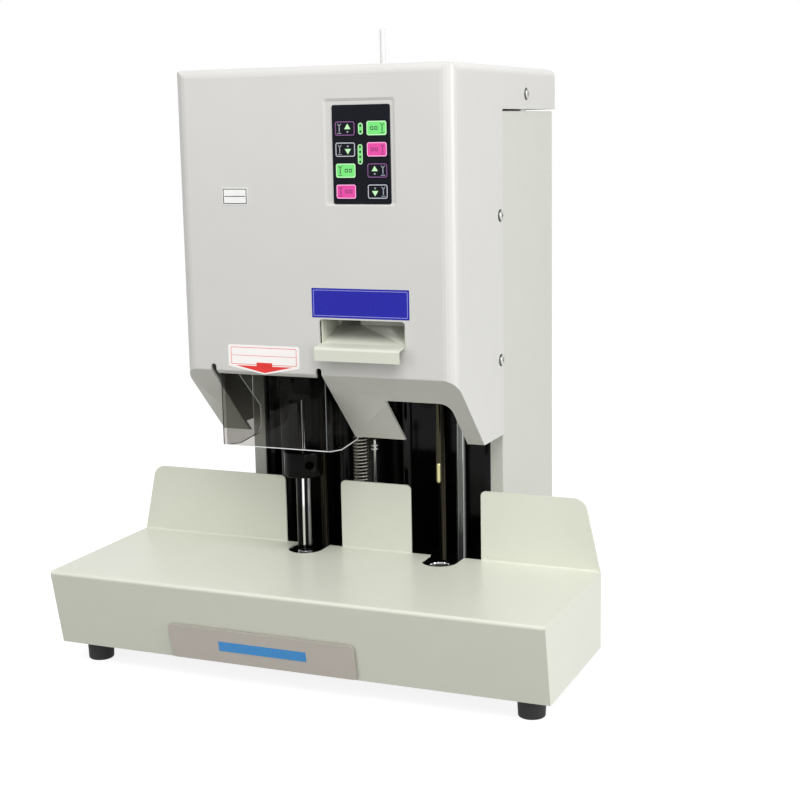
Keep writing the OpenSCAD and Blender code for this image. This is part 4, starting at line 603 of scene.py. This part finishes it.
def makeKeyPrint(number, kind, k, s):
    ground, rim, mark, side = kind
    low, high = nodeBox("key_%d" % number)
    middle = ((low[0] + high[0]) / 2, (low[2] + high[2]) / 2)
    w, h = k["width"] / 2 - k["rimInset"], k["height"] / 2 - k["rimInset"]
    face = (-w, -h, w, h)

    def layer(name, outline, finish, level, hole=None):  # level 1 lies on the key, level 2 on level 1
        depth = (k["print"] * (level - 1), k["print"] * level)
        piece = printedPiece("%s%d" % (name, number), "key_%d_cap" % number, moved(outline, *middle),
                             onFace(low[1]), depth, made[finish], moved(hole, *middle) if hole else None)

    if ground != "dark":
        layer("keyGround", boxOutline(face, k["innerCorner"], k["groundInset"]), ground, 1)
    layer("keyRim", boxOutline(face, k["rimCorner"]), rim, 2, boxOutline(face, k["innerCorner"], k["rimWidth"]))
    away = -1 if side == "left" else 1
    legend = {"greenKeyInk": "darkLegendInk", "magentaKeyInk": "plumLegendInk", "dark": "greyLegendInk"}[ground]
    u = away * s["drillAway"]  # the small drill sign: a funnel above a stem and a base line
    layer("keyFunnel", moved(s["funnel"], u, 0), legend, 2)
    layer("keyStem", moved(s["stem"], u, 0), legend, 2)
    layer("keyBase", moved(boxOutline(s["base"], s["baseCorner"]), u, 0), legend, 2)
    v = -away * s["markAway"]
    if mark == "drill":  # a plain square and bar where a word would be
        for name, box in (("keySquare", s["square"]), ("keyBar", s["bar"])):
            layer(name, moved(boxOutline(box, s["boxCorner"]), v, 0), legend, 2,
                  moved(boxOutline(box, s["boxCorner"], s["line"]), v, 0))
    else:  # an arrow with a dot behind it
        flip = 1 if mark == "up" else -1
        layer("keyArrow", [(v + a, flip * b) for a, b in s["arrow"]], "paleGreenInk", 2)
        layer("keyDot", [(v + a, flip * b) for a, b in boxOutline(s["dot"], s["dotCorner"])], "greyLegendInk", 2)


for number, kind in keyKinds.items():
    makeKeyPrint(number, kind, keyLook, signLook)

pillLook = {"boxes": {"upperPill": (50.4, 518, 55.1, 528.6), "lowerPill": (49.6, 491, 54.3, 509.3)}, "rim": 0.6,
            "corner": 2.3, "innerCorner": 1.7, "print": 0.06, "markApart": 4.4, "markHalf": 1.1, "markInset": 1.4,
            "markCorner": 0.5, "markPrint": 0.1}


def makePill(name, box, p):  # a green pill between the keys, with dark marks down it
    inner = boxOutline(box, p["innerCorner"], p["rim"])
    ring = printedPiece(name + "Rim", "machine", boxOutline(box, p["corner"]), onFace(headFront), (0, p["print"]),
                        made["paleGreenInk"], inner)
    fill = printedPiece(name, "machine", inner, onFace(headFront), (0, p["print"]), made["greenKeyInk"])
    x0, z0, x1, z1 = box
    marks = round((z1 - z0) / p["markApart"])
    for i in range(marks):
        z = z0 + (z1 - z0) * (i + 0.5) / marks
        spot = (x0 + p["markInset"], z - p["markHalf"], x1 - p["markInset"], z + p["markHalf"])
        mark = printedPiece("%sMark%d" % (name, i + 1), "machine", boxOutline(spot, p["markCorner"]),
                            onFace(headFront), (p["print"], p["markPrint"]), made["darkLegendInk"])


for name, box in pillLook["boxes"].items():
    makePill(name, box, pillLook)

recessLook = {"box": (15, 453, 87, 551), "slope": 2.6, "depth": 1.0, "corner": 3, "innerCorner": 2, "skin": 0.02}


def makeRecessSlope(r):  # pressed slope all round the key panel's recess
    outer, inner = boxOutline(r["box"], r["corner"]), boxOutline(r["box"], r["innerCorner"], r["slope"])
    floor = headFront + r["depth"] - r["skin"]
    n = len(outer)
    points = [(x, headFront - r["skin"], z) for x, z in outer] + [(x, floor - r["skin"], z) for x, z in inner]
    points += [(x, floor, z) for x, z in outer]
    faces = [(a * n + i, a * n + (i + 1) % n, b * n + (i + 1) % n, b * n + i)
             for a, b in ((0, 1), (1, 2), (2, 0)) for i in range(n)]
    meshPiece("recessSlope", "machine", points, faces, made["headPowderCoat"])


makeRecessSlope(recessLook)
print("keys printed")


# plates and labels on the head

labelLook = {
    "plate": {"box": (-93.4, 454, -66.4, 470), "thick": 0.4, "corner": 0.8, "frame": (0.8, 1.6),
              "frameCorners": (0.6, 0.5), "ruleInset": 2.4, "ruleHalf": 0.4},
    "sticker": {"box": (-1.6, 348.6, 98, 376.5), "thick": 0.15, "corner": 0.8, "line": (1.6, 2.2),
                "lineCorners": (0.8, 0.5)},
    "arrow": {"box": (-93.6, 298.4, -16.6, 319.5), "tip": (-54.4, 291.4), "thick": 0.12,
              "corners": (1.5, 1, 1.5, 2, 2), "frame": (-90.6, 300.4, -19.6, 317.3), "frameLine": 0.5,
              "frameCorners": (1.2, 0.8), "rule": (-89.6, 309.0, -20.6, 309.4), "ruleCorner": 0.1,
              "headInset": 8, "headRise": 0.9, "tipRise": 1.3, "shaftHalf": 8.5, "shaft": (0.7, 4.3)},
    "ink": {"plate": 0.05, "sticker": 0.05, "arrow": 0.04},
}


def makeLabels(s):
    def flat(name, outline, finish, low, high, hole=None):
        piece = printedPiece(name, "machine", outline, onFace(headFront), (low, high), made[finish], hole)

    p = s["plate"]  # bare brushed plate with a thin black frame and a rule
    top = p["thick"] + s["ink"]["plate"]
    x0, z0, x1, z1 = p["box"]
    flat("namePlate", boxOutline(p["box"], p["corner"]), "brushedPlate", 0, p["thick"])
    outer, inner = (boxOutline(p["box"], c, i) for c, i in zip(p["frameCorners"], p["frame"]))
    flat("namePlateFrame", outer, "blackInk", p["thick"], top, inner)
    middle = (z0 + z1) / 2
    rule = (x0 + p["ruleInset"], middle - p["ruleHalf"], x1 - p["ruleInset"], middle + p["ruleHalf"])
    flat("namePlateRule", boxOutline(rule, p["ruleHalf"] / 2), "blackInk", p["thick"], top)

    p = s["sticker"]  # bare blue vinyl with a pale line inside its edge
    flat("blueSticker", boxOutline(p["box"], p["corner"]), "blueVinyl", 0, p["thick"])
    outer, inner = (boxOutline(p["box"], c, i) for c, i in zip(p["lineCorners"], p["line"]))
    flat("blueStickerLine", outer, "paleBlueInk", p["thick"], p["thick"] + s["ink"]["sticker"], inner)

    p = s["arrow"]  # white pointed label with a plain red arrow
    x0, z0, x1, z1 = p["box"]
    tx, tz = p["tip"]
    low, middle = p["thick"], p["thick"] + s["ink"]["arrow"]
    high = middle + s["ink"]["arrow"]
    flat("arrowLabel", softCorners([(x0, z0), (tx, tz), (x1, z0), (x1, z1), (x0, z1)], p["corners"]),
         "whiteVinyl", 0, low)
    outer = boxOutline(p["frame"], p["frameCorners"][0])
    inner = boxOutline(p["frame"], p["frameCorners"][1], p["frameLine"])
    flat("arrowLabelFrame", outer, "redInk", low, middle, inner)
    flat("arrowLabelRule", boxOutline(p["rule"], p["ruleCorner"]), "redInk", low, middle)
    flat("arrowHead", [(x0 + p["headInset"], z0 + p["headRise"]), (tx, tz + p["tipRise"]),
                       (x1 - p["headInset"], z0 + p["headRise"])], "redInk", middle, high)
    left, right = tx - p["shaftHalf"], tx + p["shaftHalf"]
    foot, crown = (z0 + rise for rise in p["shaft"])
    flat("arrowShaft", [(left, foot), (right, foot), (right, crown), (left, crown)], "redInk", middle, high)


makeLabels(labelLook)

drawerLabel = {"box": (-72.5, 35.5, 20, 45.5), "corner": 0.4, "thick": 0.15,
               "top": 99, "lean": 16 / 77, "front": -199.7}  # the leaning front would meet the tray's top here


def onDrawer(x, z, w):  # the drawer's leaning front plate
    return (x, drawerLabel["front"] + drawerLabel["lean"] * (drawerLabel["top"] - z) - w, z)


label = printedPiece("drawerLabel", "drawer", boxOutline(drawerLabel["box"], drawerLabel["corner"]), onDrawer,
                     (0, drawerLabel["thick"]), made["skyVinyl"])
print("labels placed")


# painted light and shade along the clear guard's edges: pale glowing lines where they catch light, grey and dark
# lines where they lie in shade

guardLook = {"front": -95, "sheet": 2.5, "foot": 216, "top": 300, "line": 0.5, "skin": 0.2,
             "wing": ((-84, 300.4), (-20.8, 242.9), (-20.8, 222), (-27, 215), (-65, 211.8), (-93, 215.4)),
             "wingBack": 4}  # the wing's first so many points run down its back edge, the rest along its foot


def edgeLine(name, points, finish, width):  # a hair-thin square bar along a few points
    faces, corners = [], []
    for i, point in enumerate(points):
        here = Vector(point)
        along = (Vector(points[min(i + 1, len(points) - 1)]) - Vector(points[max(i - 1, 0)])).normalized()
        side = along.orthogonal().normalized() * width
        up = along.cross(side)
        corners += [tuple(here + side), tuple(here + up), tuple(here - side), tuple(here - up)]
    for i in range(len(points) - 1):
        faces += [(4 * i + k, 4 * i + (k + 1) % 4, 4 * i + 4 + (k + 1) % 4, 4 * i + 4 + k) for k in range(4)]
    last = 4 * (len(points) - 1)
    faces += [(3, 2, 1, 0), (last, last + 1, last + 2, last + 3)]
    meshPiece(name, "guard_flap", corners, faces, made[finish])


def makeGuardEdges(g):
    left, right = nodeBox("guard")[0][0], nodeBox("guard")[1][0]
    y, foot, top = g["front"], g["foot"], g["top"]
    rightFold, leftFold = right - g["sheet"] / 2, left + g["skin"]
    edgeLine("guardFoot", [(left, y, foot), (right, y, foot)], "paintedLitEdge", g["line"])
    edgeLine("guardRightFold", [(rightFold, y, foot), (rightFold, y, top)], "paintedHalfShadeEdge", g["line"])
    edgeLine("guardLeftFold", [(leftFold, y, foot), (leftFold, y, top)], "shadedEdge", g["line"])
    for name, x, footFinish in (("guardLeftWing", left + g["sheet"], "shadedEdge"),
                                ("guardRightWing", right, "paintedLitEdge")):
        edge = [(x, u, v) for u, v in g["wing"]]
        edgeLine(name + "Back", edge[:g["wingBack"]], "paintedLitEdge", g["line"])
        edgeLine(name + "Foot", edge[g["wingBack"] - 1:], footFinish, g["line"])


makeGuardEdges(guardLook)
print("guard edges drawn")


# bends between the tray and its paper stops

bendLook = {"spans": ((-252, -84), (-18, 57), (134, 252)), "y": -20, "z": 99, "radius": 1.4, "root": 0.1,
            "steps": 5}


def makeBends(b):
    arc = [math.pi / 2 * k / b["steps"] for k in range(b["steps"] + 1)]
    outline = [(b["y"] + b["root"], b["z"] - b["root"])]
    outline += [(b["y"] - b["radius"] * (1 - math.sin(a)), b["z"] + b["radius"] * (1 - math.cos(a)))
                for a in arc]
    for i, (x0, x1) in enumerate(b["spans"]):
        points = [(x, y, z) for x in (x0, x1) for y, z in outline]
        meshPiece("stopBend%d" % (i + 1), "machine", points, prism(len(outline)),
                          made["trayPowderCoat"])


makeBends(bendLook)
print("bends filled")


# floor, light and background

studio = {"floorHalf": 6000, "floorTone": "959593", "floorTone2": "929290", "cloudsPerMetre": 1.5,
          "shadow": 0.35, "glow": 0.86, "world": 0.42}
lamps = {  # place, target and size in mm, power in watts
    "topSoftbox": {"place": (600, -1300, 2200), "target": (0, 0, 200), "size": (1800, 1400), "power": 41},
    "keySoftbox": {"place": (-1500, -2300, 1200), "target": (0, 0, 300), "size": (1000, 1600), "power": 12},
    "sideSoftbox": {"place": (2500, -400, 900), "target": (0, 0, 300), "size": (1200, 1600), "power": 33},
    "stripLight": {"place": (1600, -2000, 800), "target": (140, -110, 400), "size": (160, 1700), "power": 7},
}


def seenRays(tree):  # 1 for rays that reach the camera straight, in a mirror or through clear sheet
    rays = addNode(tree, "ShaderNodeLightPath")
    mirrored = addNode(tree, "ShaderNodeMath", {"operation": "MAXIMUM"},
                       {0: rays.outputs["Is Camera Ray"], 1: rays.outputs["Is Glossy Ray"]})
    seen = addNode(tree, "ShaderNodeMath", {"operation": "MAXIMUM"},
                   {0: mirrored.outputs[0], 1: rays.outputs["Is Transmission Ray"]})
    return seen.outputs[0]


def makeFloor(s):  # pale floor: seen white where it is lit, darker only where the machine shades it
    half = s["floorHalf"] * mm
    data = bpy.data.meshes.new("studioFloor")
    data.from_pydata([(-half, -half, 0), (half, -half, 0), (half, half, 0), (-half, half, 0)], [],
                     [(0, 1, 2, 3)])
    floor = bpy.data.objects.new("studioFloor", data)
    bpy.context.scene.collection.objects.link(floor)
    material = bpy.data.materials.new("paleFloor")
    tree = emptyTree(material)
    coords = addNode(tree, "ShaderNodeTexCoord")
    cloud = addNode(tree, "ShaderNodeTexNoise", {"Scale": s["cloudsPerMetre"]},
                    {"Vector": coords.outputs["Object"]})
    tone = noiseTones(tree, cloud.outputs["Fac"], s["floorTone"], s["floorTone2"])
    plain = addNode(tree, "ShaderNodeBsdfDiffuse", None, {"Color": tone})
    shaded = addNode(tree, "ShaderNodeBsdfDiffuse", {"Color": (s["shadow"],) * 3 + (1.0,)})
    glow = addNode(tree, "ShaderNodeEmission", {"Color": (1, 1, 1, 1), "Strength": s["glow"]})
    bright = addNode(tree, "ShaderNodeAddShader", None, {0: shaded.outputs[0], 1: glow.outputs[0]})
    both = addNode(tree, "ShaderNodeMixShader", None,
                   {0: seenRays(tree), 1: plain.outputs[0], 2: bright.outputs[0]})
    addNode(tree, "ShaderNodeOutputMaterial", None, {"Surface": both.outputs[0]})
    data.materials.append(material)


def makeWorld(s):  # white where it is seen, a soft grey where it only lights the machine
    world = bpy.data.worlds.new("studioWorld")
    bpy.context.scene.world = world
    tree = emptyTree(world)
    ambient = addNode(tree, "ShaderNodeBackground", {"Color": (1, 1, 1, 1), "Strength": s["world"]})
    white = addNode(tree, "ShaderNodeBackground", {"Color": (1, 1, 1, 1), "Strength": 1.0})
    both = addNode(tree, "ShaderNodeMixShader", None,
                   {0: seenRays(tree), 1: ambient.outputs[0], 2: white.outputs[0]})
    addNode(tree, "ShaderNodeOutputWorld", None, {"Surface": both.outputs[0]})


def makeLamp(name, lamp):
    data = bpy.data.lights.new(name, "AREA")
    data.shape, data.energy = "RECTANGLE", lamp["power"]
    data.size, data.size_y = (side * mm for side in lamp["size"])
    softbox = bpy.data.objects.new(name, data)
    bpy.context.scene.collection.objects.link(softbox)
    place, target = (Vector(lamp[key]) * mm for key in ("place", "target"))
    softbox.location = place
    softbox.rotation_euler = (target - place).to_track_quat("-Z", "Y").to_euler()


makeFloor(studio)
makeWorld(studio)
for name, lamp in lamps.items():
    makeLamp(name, lamp)
bpy.context.scene.view_settings.view_transform = "Standard"
print("studio lit")

bpy.context.view_layer.update()
